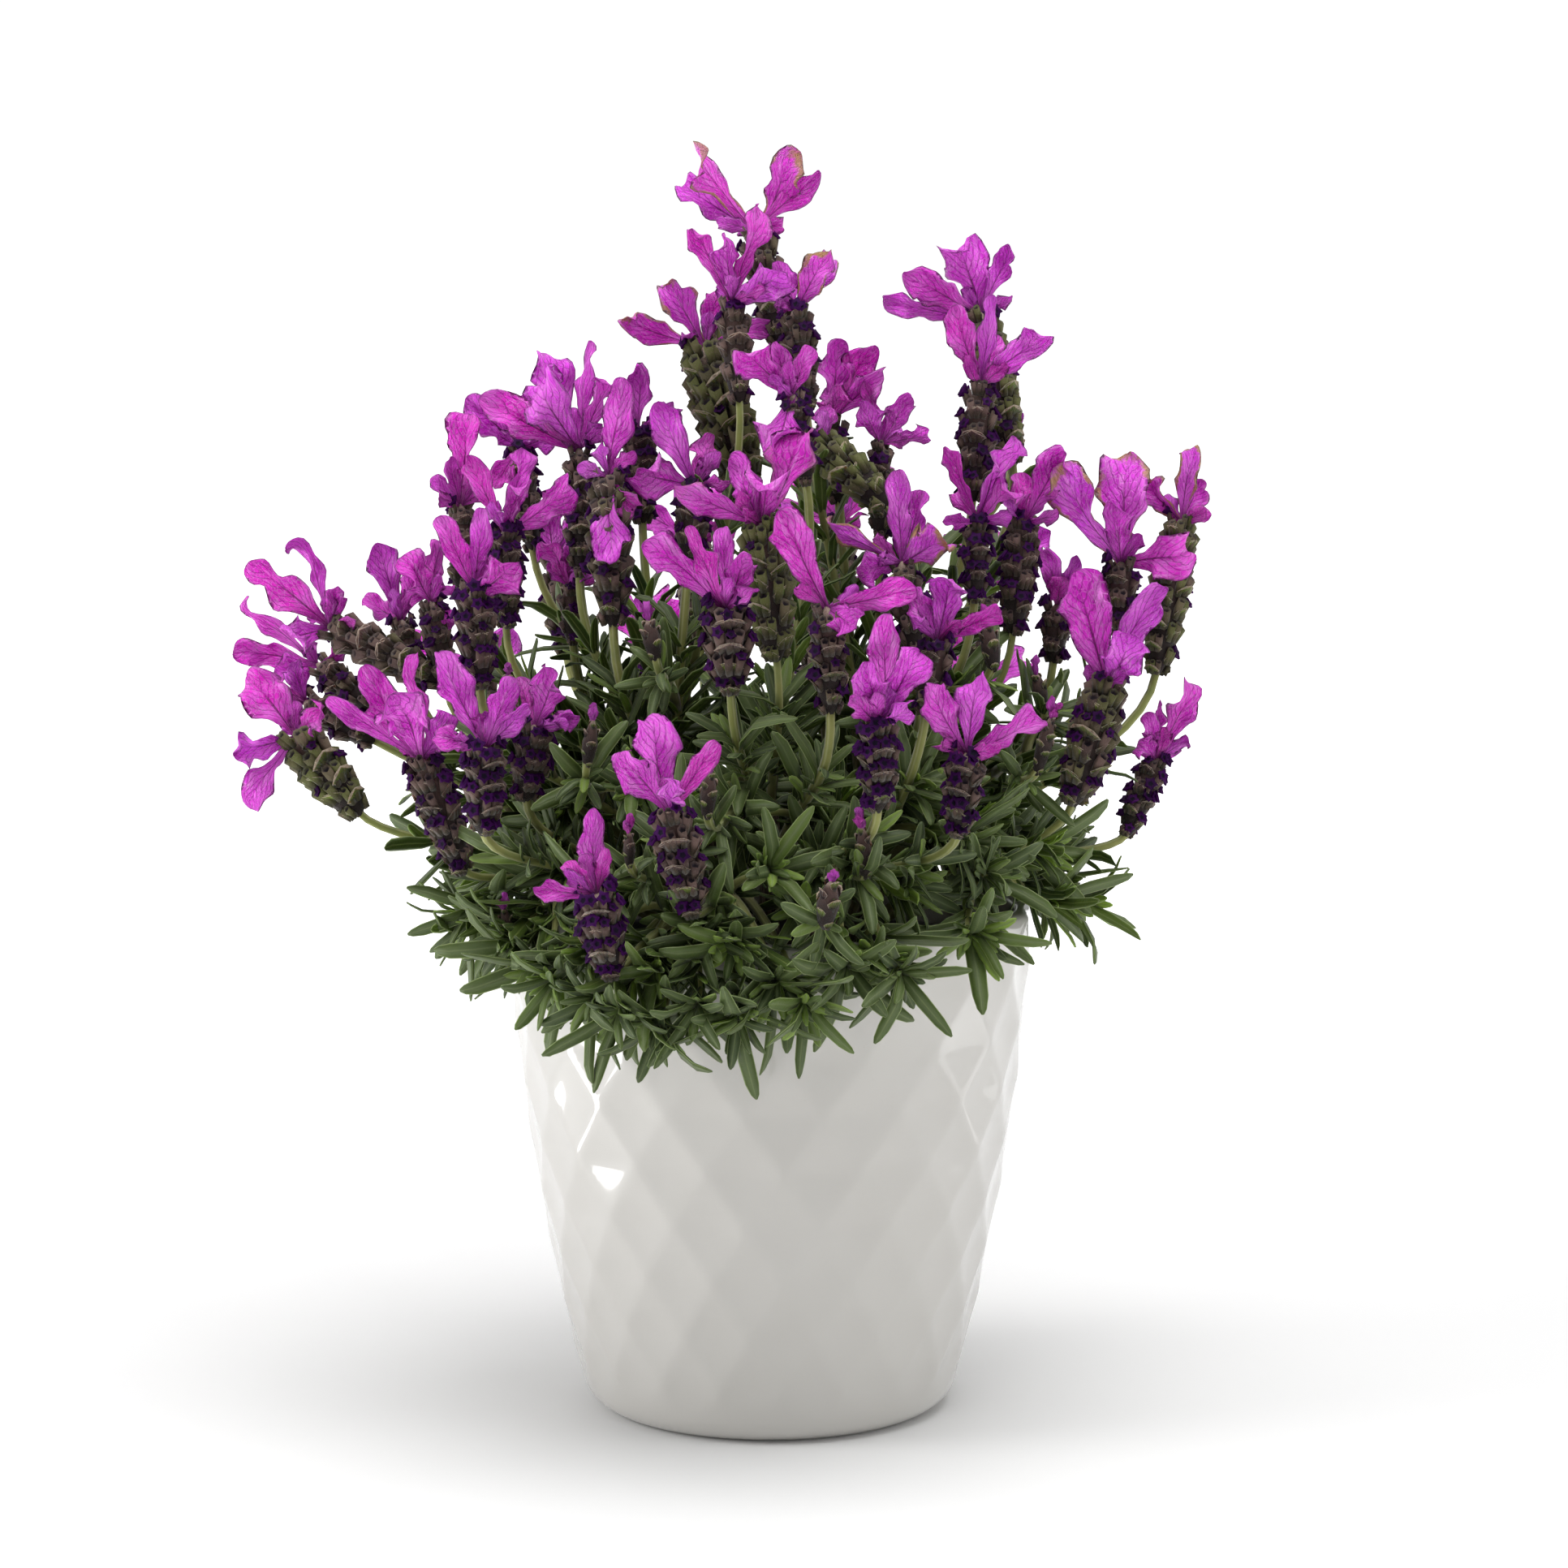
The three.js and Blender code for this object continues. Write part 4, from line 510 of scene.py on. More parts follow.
def growing_pot():
    """The growing pot: a turned profile, its foot and turned-out lip rounded in small steps."""
    low, wall, foot = INNER["bottom"], INNER["wall"], INNER["foot"]
    top, under = low + INNER["height"], low + INNER["height"] - INNER["lip_height"]
    outer, inner = INNER["top"] + INNER["lip"], INNER["top"] - wall
    heights = np.linspace(low + 3, under - 1, INNER["rows"])
    profile = [(INNER["disc"], low), (foot - 2, low), (foot - 0.5, low + 0.8)]
    profile += [(inner_radius(z), z) for z in heights]
    profile += [(inner_radius(under) + 0.4, under - 0.3), (outer - 0.7, under), (outer - 0.1, under + 0.6),
                (outer, top - 1), (outer - 0.4, top - 0.2), (outer - 1, top), (inner + 0.8, top),
                (inner, top - 0.8)]
    profile += [(inner_radius(z) - wall, z) for z in heights[::-1]]
    profile += [(foot - wall - 2, low + wall), (INNER["disc"], low + wall)]
    piece("growing_pot", [shell(turned(profile, INNER["around"]), 0, 0, (0, 0, 0))], [black_plastic()],
          ["nursery_pot"])


def potting_soil():
    """The soil: a turned body with a domed, lumpy top, and crumbs of bark and peat lying on it. A crumb
    is a squashed ball whose radius is uneven from point to point."""
    top = INNER["bottom"] + INNER["height"] - SOIL["drop"]
    foot = INNER["bottom"] + INNER["wall"] + SOIL["seat"]
    slack = (INNER["wall"] + SOIL["seat"]) * 1.02
    edge = inner_radius(top) - slack
    profile = [(INNER["disc"], foot), (inner_radius(foot) - slack - 1.2, foot)]
    profile += [(edge * share, top + SOIL["dome"] * (1 - share * share))
                for share in np.linspace(1, 0.02, SOIL["rows"])]
    rings = turned(profile, SOIL["around"])
    x, y, z = np.moveaxis(rings, -1, 0)
    lump = np.sin(x * 0.9 + 2 * np.sin(y * 0.4)) + np.sin(y * 1.1 + 2 * np.sin(x * 0.5))
    lump = lump * smooth(1, 0.9, np.hypot(x, y) / edge)
    rings[..., 2] += np.where(z > top, SOIL["lump"] * lump, 0)
    place = np.arange(SOIL["crumbs"])
    radius = (edge - 3) * np.sqrt(chance(place + 0.1))
    centre = around(360 * chance(place + 0.4), radius, 0)
    centre[:, 2] = top + SOIL["dome"] * (1 - (radius / edge) ** 2) + 0.2
    least, more = SOIL["crumb_size"]
    size = (least + more * chance(place + 0.7) ** 2)[:, None]
    rise = np.radians(SOIL["crumb_rise"])
    line = centre[:, None] + (size * 0.7 * np.sin(rise))[..., None] * [0, 0, 1]
    uneven = 1 + spread(each(place) + np.arange(4)[:, None] * 0.7 + np.arange(7) * 0.31, 0.3)
    crumbs = tubes(line, EAST, NORTH, (size * np.cos(rise))[..., None] * uneven)
    skins = [shell(rings, 0, 0, (0.3, 0, 0)), shell(crumbs, 0, 0, (each(chance(place + 0.9)), 1, 0))]
    piece("potting_soil", skins, [soil_paint()], ["soil"])


# Shoots

def stem_point(stem, share):
    """Points on the straight woody stems, a share of the way from foot to head."""
    turn = STEM["first_turn"] + 360 * np.asarray(stem) / STEM["count"]
    foot = around(turn, STEM["ring"], STEM["bottom"])
    head = around(turn, STEM["reach"], STEM["top"])
    return mix(foot, head, np.asarray(share)[..., None])


def stem_for(points):
    """The woody stem whose side of the plant each point lies on."""
    turn = np.degrees(np.arctan2(points[:, 1], points[:, 0])) - STEM["first_turn"]
    return np.round(turn * STEM["count"] / 360).astype(int) % STEM["count"]


def run(shoots, share):
    """Points and directions along the shoots: cubic curves from root to end, pulled upward near the
    rim, and arriving along the end's heading. share is (rows,) or (copies, rows)."""
    root, end, heading = shoots["root"], shoots["end"], shoots["heading"]
    reach = np.linalg.norm(end - root, axis=1)
    need = 1 - smooth(COURSE["low_root"], COURSE["high_root"], root[:, 2])
    out = mix(root, end, COURSE["out"])
    out[:, 2] += COURSE["rise"] * np.maximum(0, COURSE["below"] - end[:, 2]) * need
    out[:, 2] += np.minimum(COURSE["arch"], COURSE["arch_share"] * reach)
    straight = np.clip((end[:, 2] - COURSE["level"]) * COURSE["gain"], COURSE["least"], COURSE["most"])
    straight = np.minimum(straight, COURSE["straight_share"] * reach)[:, None]
    arrival = unit(end - out)
    against = np.maximum(0, 0.6 - np.sum(arrival * heading, 1))
    last = end - unit(heading + arrival * against[:, None]) * straight
    t = np.broadcast_to(share, (len(root), np.shape(share)[-1]))[..., None]
    a, b, c, d = (v[:, None] for v in (root, out, last, end))
    points = a * (1 - t) ** 3 + b * 3 * t * (1 - t) ** 2 + c * 3 * t * t * (1 - t) + d * t ** 3
    ways = (b - a) * (1 - t) ** 2 + (c - b) * 2 * t * (1 - t) + (d - c) * t * t
    return points, unit(ways)


def spike_table():
    """The open spikes and buds as arrays: tip, foot, radius, look, whether each is a bud, heading, woody
    stem, and place, which counts from 1 for spikes, from 101 for buds and from 201 for leafy shoots."""
    rows = [(tip, foot, radius, look, 0) for _, tip, foot, radius, look, _ in BLOOMS]
    rows += [(tip, foot, radius, BUD["look"], 1) for tip, foot, radius in BUDS]
    tip, foot, radius, look, bud = (np.array(column, float) for column in zip(*rows))
    return {"tip": tip, "foot": foot, "radius": radius, "look": look, "bud": bud > 0,
            "heading": unit(tip - foot), "stem": stem_for(foot),
            "place": np.where(bud > 0, 101 - len(BLOOMS), 1) + np.arange(len(rows))}


def leafy_ends():
    """Where the leafy shoots end and which way they point: over the front rim, round the sides and
    back, all over the bush's dome, and along the rim and in gaps."""
    front, rim = np.array(FRONT_SHOOTS, float), np.array(RIM_SPRIGS, float)
    fan = np.arange(FILL_SHOOTS["count"])
    share = fan / (len(fan) - 1)
    turn = mix(FILL_SHOOTS["from_turn"], FILL_SHOOTS["to_turn"], FILL_SHOOTS["golden"] * (fan + 1) % 1)
    fill = around(turn, mix(FILL_SHOOTS["outer"], FILL_SHOOTS["inner"], share),
                  mix(FILL_SHOOTS["low"], FILL_SHOOTS["high"], share))
    order = np.arange(SPRIGS["count"])
    radius = mix(SPRIGS["inner"], SPRIGS["outer"], np.sqrt((order + 0.5) / len(order)))
    height = SPRIGS["crest"] - SPRIGS["fall"] * radius ** 2 - SPRIGS["deepest"] * chance(order + 0.5)
    dome = around(SPRIGS["golden_turn"] * order, radius, height)
    rise = np.concatenate([np.full(len(front), FRONT_DIP), np.full(len(fill), FILL_RISE),
                           mix(*SPRIGS["rise"], radius / SPRIGS["outer"]), np.full(len(rim), RIM_DIP)])
    ends = np.concatenate([front, fill, dome, rim])
    return ends, unit(ends * [1, 1, 0] + rise[:, None] * [0, 0, 1])


def place_shoots(spikes):
    """Every shoot of the plant. Flower stalks leave their woody stem by rank, the lowest flower lowest;
    buds and leafy shoots leave the nearest flower stalk on their own side of the plant."""
    ends, headings = leafy_ends()
    count, spiked = len(BLOOMS), len(spikes["tip"])
    end = np.concatenate([spikes["foot"] + STALK["seat"] * spikes["heading"], ends])
    heading = np.concatenate([spikes["heading"], headings])
    place = np.concatenate([spikes["place"], 201 + spiked + np.arange(len(ends))])
    stem = np.concatenate([spikes["stem"], stem_for(ends)])
    share = np.zeros(count)
    for k in range(STEM["count"]):
        own = np.flatnonzero(stem[:count] == k)
        rank = np.argsort(np.argsort(spikes["foot"][own, 2]))
        share[own] = mix(ROOTS["low"], ROOTS["high"], rank / (len(own) - 1))
    root = stem_point(stem[:count], share)
    side_share = mix(ROOTS["side_low"], ROOTS["side_high"], chance(place[count:]))
    points, _ = run({"root": root, "end": end[:count], "heading": heading[:count]}, side_share)
    gap = np.linalg.norm(points - end[None, count:], axis=2)
    # A stalk of another stem, or one too close to the shoot's end, counts as far away
    gap += np.where(stem[:count, None] == stem[None, count:], 0, 1000)
    gap += np.where(gap > ROOTS["least_reach"], 0, 500)
    side_root = points[np.argmin(gap, 0), np.arange(len(side_share))]
    order = np.arange(len(end))
    return {"root": np.concatenate([root, side_root]), "end": end, "heading": heading, "place": place,
            "stem": stem, "spiked": order < spiked, "flowering": order < count}


def stalks(shoots):
    """Square stalks along the shoots. Their radius swells at the four corners with the cosine of four
    times the turn, is thick at the root, and thins to the tip of a leafy shoot."""
    share = np.linspace(0, 1, STALK["rows"])
    line, way = run(shoots, share)
    level = unit(np.cross(shoots["end"] - shoots["root"], [0, 0, 1.0]))
    side = unit(np.cross(way, np.cross(np.broadcast_to(level[:, None], way.shape), way)))
    turn = 2 * np.pi * np.arange(STALK["around"]) / STALK["around"]
    ridge = np.cos(4 * turn + np.pi)
    plain, leafy = (thick - thins * share for thick, thins in (STALK["taper"], STALK["leafy_taper"]))
    taper = np.where(shoots["spiked"][:, None], plain, leafy)
    radius = STALK["radius"] * taper[..., None] * (1 + STALK["ridge"] * ridge)
    wood = smooth(STALK["wood"], 0.0, share)[:, None]
    return shell(tubes(line, side, np.cross(way, side), radius), 0.5 + 0.5 * ridge, share[:, None],
                 (each(chance(shoots["place"])), wood, 0))


def woody_stem(k):
    """A woody stem: a tapered tube with knots, its radius uneven by two slow waves."""
    share = np.linspace(0, 1, STEM["rows"])[:, None]
    line = stem_point(np.full(STEM["rows"], k), share[:, 0])[None]
    turn = 2 * np.pi * np.arange(STEM["around"]) / STEM["around"]
    waves = 0.06 * np.sin(3 * turn + 9 * share + k) + 0.08 * np.sin(23 * share + 2 * turn + 2 * k)
    radius = mix(STEM["thick"], STEM["thin"], share) * (1 + waves)
    return shell(tubes(line, EAST, NORTH, radius[None]), 0.5, share, (0.5, 1, 0))


# Leaves

def leaf_table(shoots):
    """Where leaves stand: opposite pairs, each pair a quarter turn on from the last, with smaller leaves
    in their angles. Every leaf has a root, a direction out, one along, a size, a youth, a place and a
    stem."""
    found = []
    flowering, spiked = shoots["flowering"], shoots["spiked"]
    for chosen, (shares, size, youth) in zip((flowering, spiked & ~flowering, ~spiked), NODES):
        some = pick(shoots, chosen)
        points, ways = run(some, shares)
        first, second = square_axes(ways)
        node, own = np.arange(len(shares)), some["place"][:, None]
        start = any_turn(own) + 1.57 * node + spread(own + node, 0.35)
        young = youth * smooth(0.7, 1, shares) * (chance(own + 0.8) > 0.5)
        for leaf, (offset, shrink) in enumerate(NODE_LEAVES):
            place = own * 1.37 + node * 0.73 + leaf * 0.217
            big = size * shrink * (0.62 + 0.68 * chance(place)) * mix(1.0, 0.72, smooth(0.9, 1, shares))
            fresh = young * (0.5 if shrink == 1 else 1) + (shrink < 1) * (0.1 + 0.6 * chance(place + 0.33))
            made = {"root": points, "out": swing(first, second, start + offset), "along": ways, "size": big,
                    "youth": np.clip(fresh, 0, 1), "place": place, "stem": some["stem"][:, None]}
            found.append({key: np.broadcast_to(v, (*place.shape, *v.shape[2:])).reshape(-1, *v.shape[2:])
                          for key, v in made.items()})
    return {key: np.concatenate([some[key] for some in found]) for key in found[0]}


def leaf_skins(leaves):
    """Leaves as thin closed blades. The outline is a blunt oval with a narrow foot; the section has a
    groove along the midrib and margins rolled down; the blade leaves the shoot steeply and arches out.
    Blades that would cut the pot or the soil are left out."""
    along, size, youth, place = (leaves[key] for key in ("along", "size", "youth", "place"))
    share, outline = np.array(LEAF["along"], float), np.array(LEAF["outline"], float)
    across, face = np.array(LEAF["across"], float), np.array(LEAF["face"], float)
    least, more, young = LEAF["lift"]
    lift = least + more * chance(place + 0.2) + young * youth
    heading = unit(leaves["out"] + along * lift[:, None])
    side = unit(np.cross(heading, along))
    middle, either, young = LEAF["bow"]
    bow = middle + spread(place + 0.1, either) - young * youth
    angle = -bow[:, None] * (share - 0.35) + 0.22 * np.sin(7 * share + any_turn(place + 0.7)[:, None])
    line, _, normal = blade_line(leaves["root"], heading, side, LEAF["length"] * size, share, angle)
    wide = 0.5 * LEAF["width"] * each(size ** 0.6) * outline[:, None]
    half = wide * (0.82 + 0.3 * each(chance(place + 0.5)))
    twisted = swing(side[:, None], normal, spread(place + 0.3, 0.5)[:, None] * share)
    groove = 0.3 * np.exp(-(across / 0.35) ** 2) + 0.36 * np.abs(across) ** 3
    thick = 0.2 * (1 - 0.45 * across ** 2)
    points = rings_about(line, twisted, normal, half * across, half * (0.3 - groove) + face * thick)
    kept = clear_of_pot(points)
    return shell(points[kept], 0.5 + 0.5 * across, share[:, None],
                 (each(chance(place[kept])), each(youth[kept]), face < 0))


def clear_of_pot(points):
    """Whether every point of a blade stays out of the cover pot's wall and the soil."""
    radius, z = np.hypot(points[..., 0], points[..., 1]), points[..., 2]
    wall = cover_radius(z)
    in_wall = ((z < COVER["height"] + CLEAR["above"]) & (radius > wall - COVER["wall"] - CLEAR["inside"])
               & (radius < wall + CLEAR["outside"]))
    in_soil = (z < CLEAR["soil_level"]) & (radius < CLEAR["soil_radius"])
    return ~(in_wall | in_soil).reshape(len(points), -1).any(1)


# Spikes

def swell(form, height):
    """How much of its full radius a spike has at a share of its height: straight between the listed."""
    return np.interp(height, np.linspace(0, 1, len(form["swell"])), form["swell"])


def whorl_table(spikes, form):
    """Every scale of the spikes: opposite pairs, each whorl a quarter turn on from the last. Returns
    the spike's number, the height share, the turn, the local radius and a place number."""
    length = np.linalg.norm(spikes["tip"] - spikes["foot"], axis=1)
    count = np.maximum(4, np.round(length / form["whorl"])).astype(int)
    number = np.repeat(np.arange(len(count)), count * 2)
    order = np.arange(len(number)) - np.repeat(np.cumsum(count * 2) - count * 2, count * 2)
    whorl, own = order // 2, spikes["place"][number]
    height = (whorl + 0.15) / count[number]
    place = own * 3.7 + order * 0.61
    turn = np.pi * (order % 2) + np.pi / 2 * (whorl % 2) + any_turn(own + 0.3)
    return number, height, turn + spread(place, 0.16), spikes["radius"][number] * swell(form, height), place


def on_spike(spikes, number, height, turn, out, up):
    """Points about a spike's axis, from the turn, the distance out and the distance up from a height."""
    axis = spikes["heading"][number]
    base = mix(spikes["foot"][number], spikes["tip"][number], height[:, None])
    spread_out = (slice(None),) + (None,) * (out.ndim - 1)
    base, axis, first, second = (v[spread_out] for v in (base, axis, *square_axes(axis)))
    return base + swing(first, second, turn) * out[..., None] + axis * up[..., None]


def scale_skins(spikes, form, openness):
    """Scales as upright fans, each wrapped a little round the spike. With t upward and s across: turn =
    middle + s (0.35 + 0.65 root t) half-width; out = radius (0.7 + 0.27 t, more at the lip and less at
    the wings); up = radius (height t, less at the wings), so the top edge is an arch."""
    number, height, turn, radius, place = whorl_table(spikes, form)
    s, face = np.array(SCALE["across"], float), np.array(SCALE["face"], float)
    t = np.array(SCALE["along"], float)[:, None]
    near_top, grown = each(smooth(0.75, 1.0, height)), each(radius)
    flare = each(openness * (0.16 + spread(place + 0.6, 0.1))) - 0.3 * near_top
    angle = each(turn) + s * each(0.8 + spread(place + 0.2, 0.1)) * (0.35 + 0.65 * np.sqrt(t))
    tall = each(1.0 - 0.3 * openness + spread(place + 0.35, 0.08)) + 0.3 * near_top
    out = grown * (0.7 + 0.27 * t + flare * t * t - 0.1 * s * s * t) - face * 0.13
    up = grown * (tall * t - 0.42 * s * s * t) + face * 0.06
    low = np.where(spikes["bud"][number], 0.9, 0.45) * smooth(0.6, 0.0, height)
    green = np.clip(spikes["look"][number, 0] + low + spread(place + 0.5, 0.25), 0, 1)
    return shell(on_spike(spikes, number, height, angle, out, up), 0.5 + 0.5 * s, t,
                 (each(chance(place)), each(green), face < 0))


def calyx_table(spikes, form):
    """Where calyx tubes stand: three in the angle of every scale, each from a foot to a mouth, with the
    direction away from the spike there, its size, its place, its spike's number, its rank among four and
    how green it is."""
    number, height, turn, radius, place = whorl_table(spikes, form)
    found = []
    for k, offset in enumerate(CALYX["turns"]):
        angle = turn + offset + spread(place + k, 0.1)
        mouth = 0.98 + spread(place + 0.4 * k, 0.06), 0.98 + spread(place + 0.3 * k, 0.1)
        inner, outer, away = (on_spike(spikes, number, height, angle, out * radius, up * radius)
                              for out, up in ((0.66, 0.12), mouth, (2, 1.3)))
        found.append((inner, outer, away, radius, place + 0.19 * k, number))
    inner, outer, away, radius, place, number = (np.concatenate(column) for column in zip(*found))
    return {"foot": inner, "mouth": outer, "away": unit(away - outer), "size": radius / CALYX["full_at"],
            "place": place, "number": number, "rank": np.tile(np.arange(len(turn)) % 4, len(CALYX["turns"])),
            "green": np.clip(spikes["look"][number, 0] + spread(place + 0.5, 0.3), 0, 1)}


def calyx_skins(calyces):
    """Calyx tubes: a ribbed tube that widens to its mouth, with its lip turned in to a throat that is
    painted near black as shade.
    """
    foot, mouth, place = (calyces[key] for key in ("foot", "mouth", "place"))
    along, girth, throat = (np.array(CALYX[key], float)[:, None] for key in ("along", "girth", "throat"))
    rib = np.arange(CALYX["ribs"]) % 2
    side, up = square_axes(unit(unit(mouth - foot) + 0.7 * calyces["away"]), place)
    rings = tubes(foot[:, None] + (mouth - foot)[:, None] * along, side, up,
                  each(calyces["size"]) * girth * (1 + 0.1 * rib))
    return shell(rings, rib, along, (each(chance(place)), each(calyces["green"]), throat))


def floret_skins(calyces, chosen):
    """Florets: a short tube that opens to a disc of five round lobes about a sunken throat. The disc's
    radius goes in and out from point to point."""
    some = pick(calyces, chosen)
    mouth, place = some["mouth"], some["place"]
    astray = np.stack([spread(place + k, 0.35) for k in (0.1, 0.2, 0.3)], -1)
    tilt = unit(unit(mouth - some["foot"]) * 0.5 + some["away"] + astray)
    side, up = square_axes(tilt, 7 * place)
    size = 0.72 + 0.4 * chance(place + 0.6)
    plain, lobed, share = (np.array(FLORET[key], float)[:, None] for key in ("plain", "lobed", "share"))
    girth = plain + lobed * (0.62 + 0.38 * (np.arange(2 * FLORET["lobes"]) % 2))
    line = mouth[:, None] + tilt[:, None] * (size[:, None] * np.array(FLORET["along"]))[..., None]
    return shell(tubes(line, side, up, each(size) * girth), 0.5, share, (each(chance(place)), 0, 0))


def spike_cores(spikes, form):
    """The axis of each spike, a slim tube with rounded ends that the scales stand on. It wears the
    scales' paint, so their painted shade darkens it, most toward its foot.
    """
    height = np.linspace(0, 1, CORE["rows"])
    line = mix(spikes["foot"][:, None], spikes["tip"][:, None], height[:, None])
    radius = CORE["girth"] * (spikes["radius"][:, None] * swell(form, height))
    radius = radius * np.sqrt(np.clip(1.02 - (2 * height - 1) ** 6, 0.1, 1))
    rings = tubes(line, *square_axes(spikes["heading"]), np.repeat(radius[..., None], CORE["around"], axis=2))
    return shell(rings, 0.5, height[:, None], (0.3, 0.2, 0.85))


# Bracts

def bract_skins(listed, root, place, dried, cut):
    """Bracts as thin closed blades, with t from foot to tip and s across.

    The outline has a narrow claw, is broadest past the middle and rounds off to the tip, with both
    margins scalloped. The centre line curls back at the tip. The blade is folded along its midrib, and
    ruffled by waves along t that grow toward the margins. cut is how finely, as rows and samples.
    """
    degrees, toward, length, width = np.array(listed, float).T
    turn = np.radians(degrees)
    heading = unit(np.stack([np.sin(turn), -toward, np.cos(turn)], -1))
    plain = unit(np.cross(heading, NORTH))
    side = swing(plain, np.cross(heading, plain), spread(place, BRACT["roll"]))
    rows, samples = cut
    t = np.concatenate([np.linspace(0, 0.86, rows), BRACT["last_rows"]])
    curl = spread(place + 0.3, BRACT["curl"])[:, None]
    tip_curl = spread(place + 0.45, BRACT["tip_curl"])[:, None]
    wave = 0.4 * np.sin(8 * t + any_turn(place + 0.25)[:, None]) * t
    angle = curl * (t - 0.5) + tip_curl * smooth(0.6, 1.0, t) + wave
    line, way, normal = blade_line(root, heading, side, BRACT["stretch"] * length, t, angle)
    over = swing(side[:, None], normal, spread(place + 0.6, BRACT["twist"])[:, None] * (t - 0.4))
    broad = BRACT["claw"] + (1 - BRACT["claw"]) * smooth(0.0, BRACT["broadest"], t) ** 1.15
    broad = broad * np.sqrt(np.clip(1 - np.clip((t - BRACT["broadest"]) / 0.345, 0, 1) ** 2.2, 0.02, 1))
    t, broad = t[:, None], broad[:, None]
    s, face = blade_loop(samples)
    hand, off = np.sign(s), np.abs(s)
    phase, other, sway = (each(any_turn(place + k)) for k in (0.15, 0.35, 0.55))
    scallop = 0.1 * np.sin(17 * t + phase + 1.9 * hand) + 0.035 * np.sin(31 * t + other - 1.3 * hand)
    waist = 1 + 0.14 * np.sin(9 * t + sway)
    half = 0.53 * each(width) * broad * (1 + scallop * smooth(0.15, 0.5, t)) * waist
    ruffle = 0.6 * np.sin(13 * t + phase + 1.6 * hand) + 0.22 * np.sin(24 * t + other + 2.2 * hand)
    ruffle = off ** 1.5 * smooth(0.12, 0.55, t) * ruffle
    crease = (0.1 * np.sin(26 * t - 5 * off + other) + 0.06 * np.sin(11 * s + other)) * off
    cup = 0.6 + spread(place + 0.8, 0.35) - 1.2 * (chance(place + 0.65) > 0.75)
    lift = 0.5 * each(width) * broad * (ruffle + each(cup) * (off - 0.35 * s * s) + crease)
    thick = 0.13 + 0.2 * np.exp(-(s / 0.2) ** 2) * (1 - 0.8 * t)
    points = rings_about(line, over, np.cross(way, over), half * s, lift + face * thick)
    return shell(points, 0.5 + 0.5 * s, t, (each(chance(place + 0.05)), each(dried), face < 0))


def tuft(number, violet):
    """One tuft: the listed bracts and three short ones between them, standing on the spike's tip."""
    name, tip, foot, _, look, listed = BLOOMS[number]
    tip, foot = np.array(tip, float), np.array(foot, float)
    root = tip - TUFT["sink"] * unit(tip - foot)
    small = [(spread(number + 0.2 * k, TUFT["turn"]), spread(number + 0.3 * k, TUFT["lean"]),
              TUFT["length"] + TUFT["longer"] * chance(number + k), TUFT["width"])
             for k in range(TUFT["small"])]
    skins = []
    for some, first, cut in ((listed, 0, BRACT["fine"]), (small, len(listed), BRACT["small"])):
        order = first + np.arange(len(some))
        dried = look[2] * np.where(order < TUFT["dry"], 1.0, TUFT["less_dry"])
        roots = np.repeat(root[None], len(some), 0)
        skins.append(bract_skins(some, roots, 7 * number + 1.0 + order, dried, cut))
    piece(f"tuft_{name}", skins, [violet], [f"bracts_{name}"])


def bud_tips(spikes):
    """The first violet of each bud: three tiny bracts that stand close together on its tip."""
    number = np.repeat(np.arange(len(spikes["tip"])), 3)
    place = spikes["place"][number] + 0.31 * np.tile(np.arange(3), len(spikes["tip"]))
    way = spikes["heading"][number]
    lean = np.degrees(np.arctan2(way[:, 0], way[:, 2])) + spread(place, 13)
    listed = np.stack([lean, -way[:, 1] + spread(place + 0.2, 0.15), 3.2 + 3 * chance(place + 0.4) ** 2,
                       1.5 + 1.3 * chance(place + 0.6)], -1)
    return bract_skins(listed, spikes["tip"][number] - 1.2 * way, place, np.zeros(len(place)), BRACT["bud"])


# Materials. Every node group below puts out only a colour, a mask or a bump height.

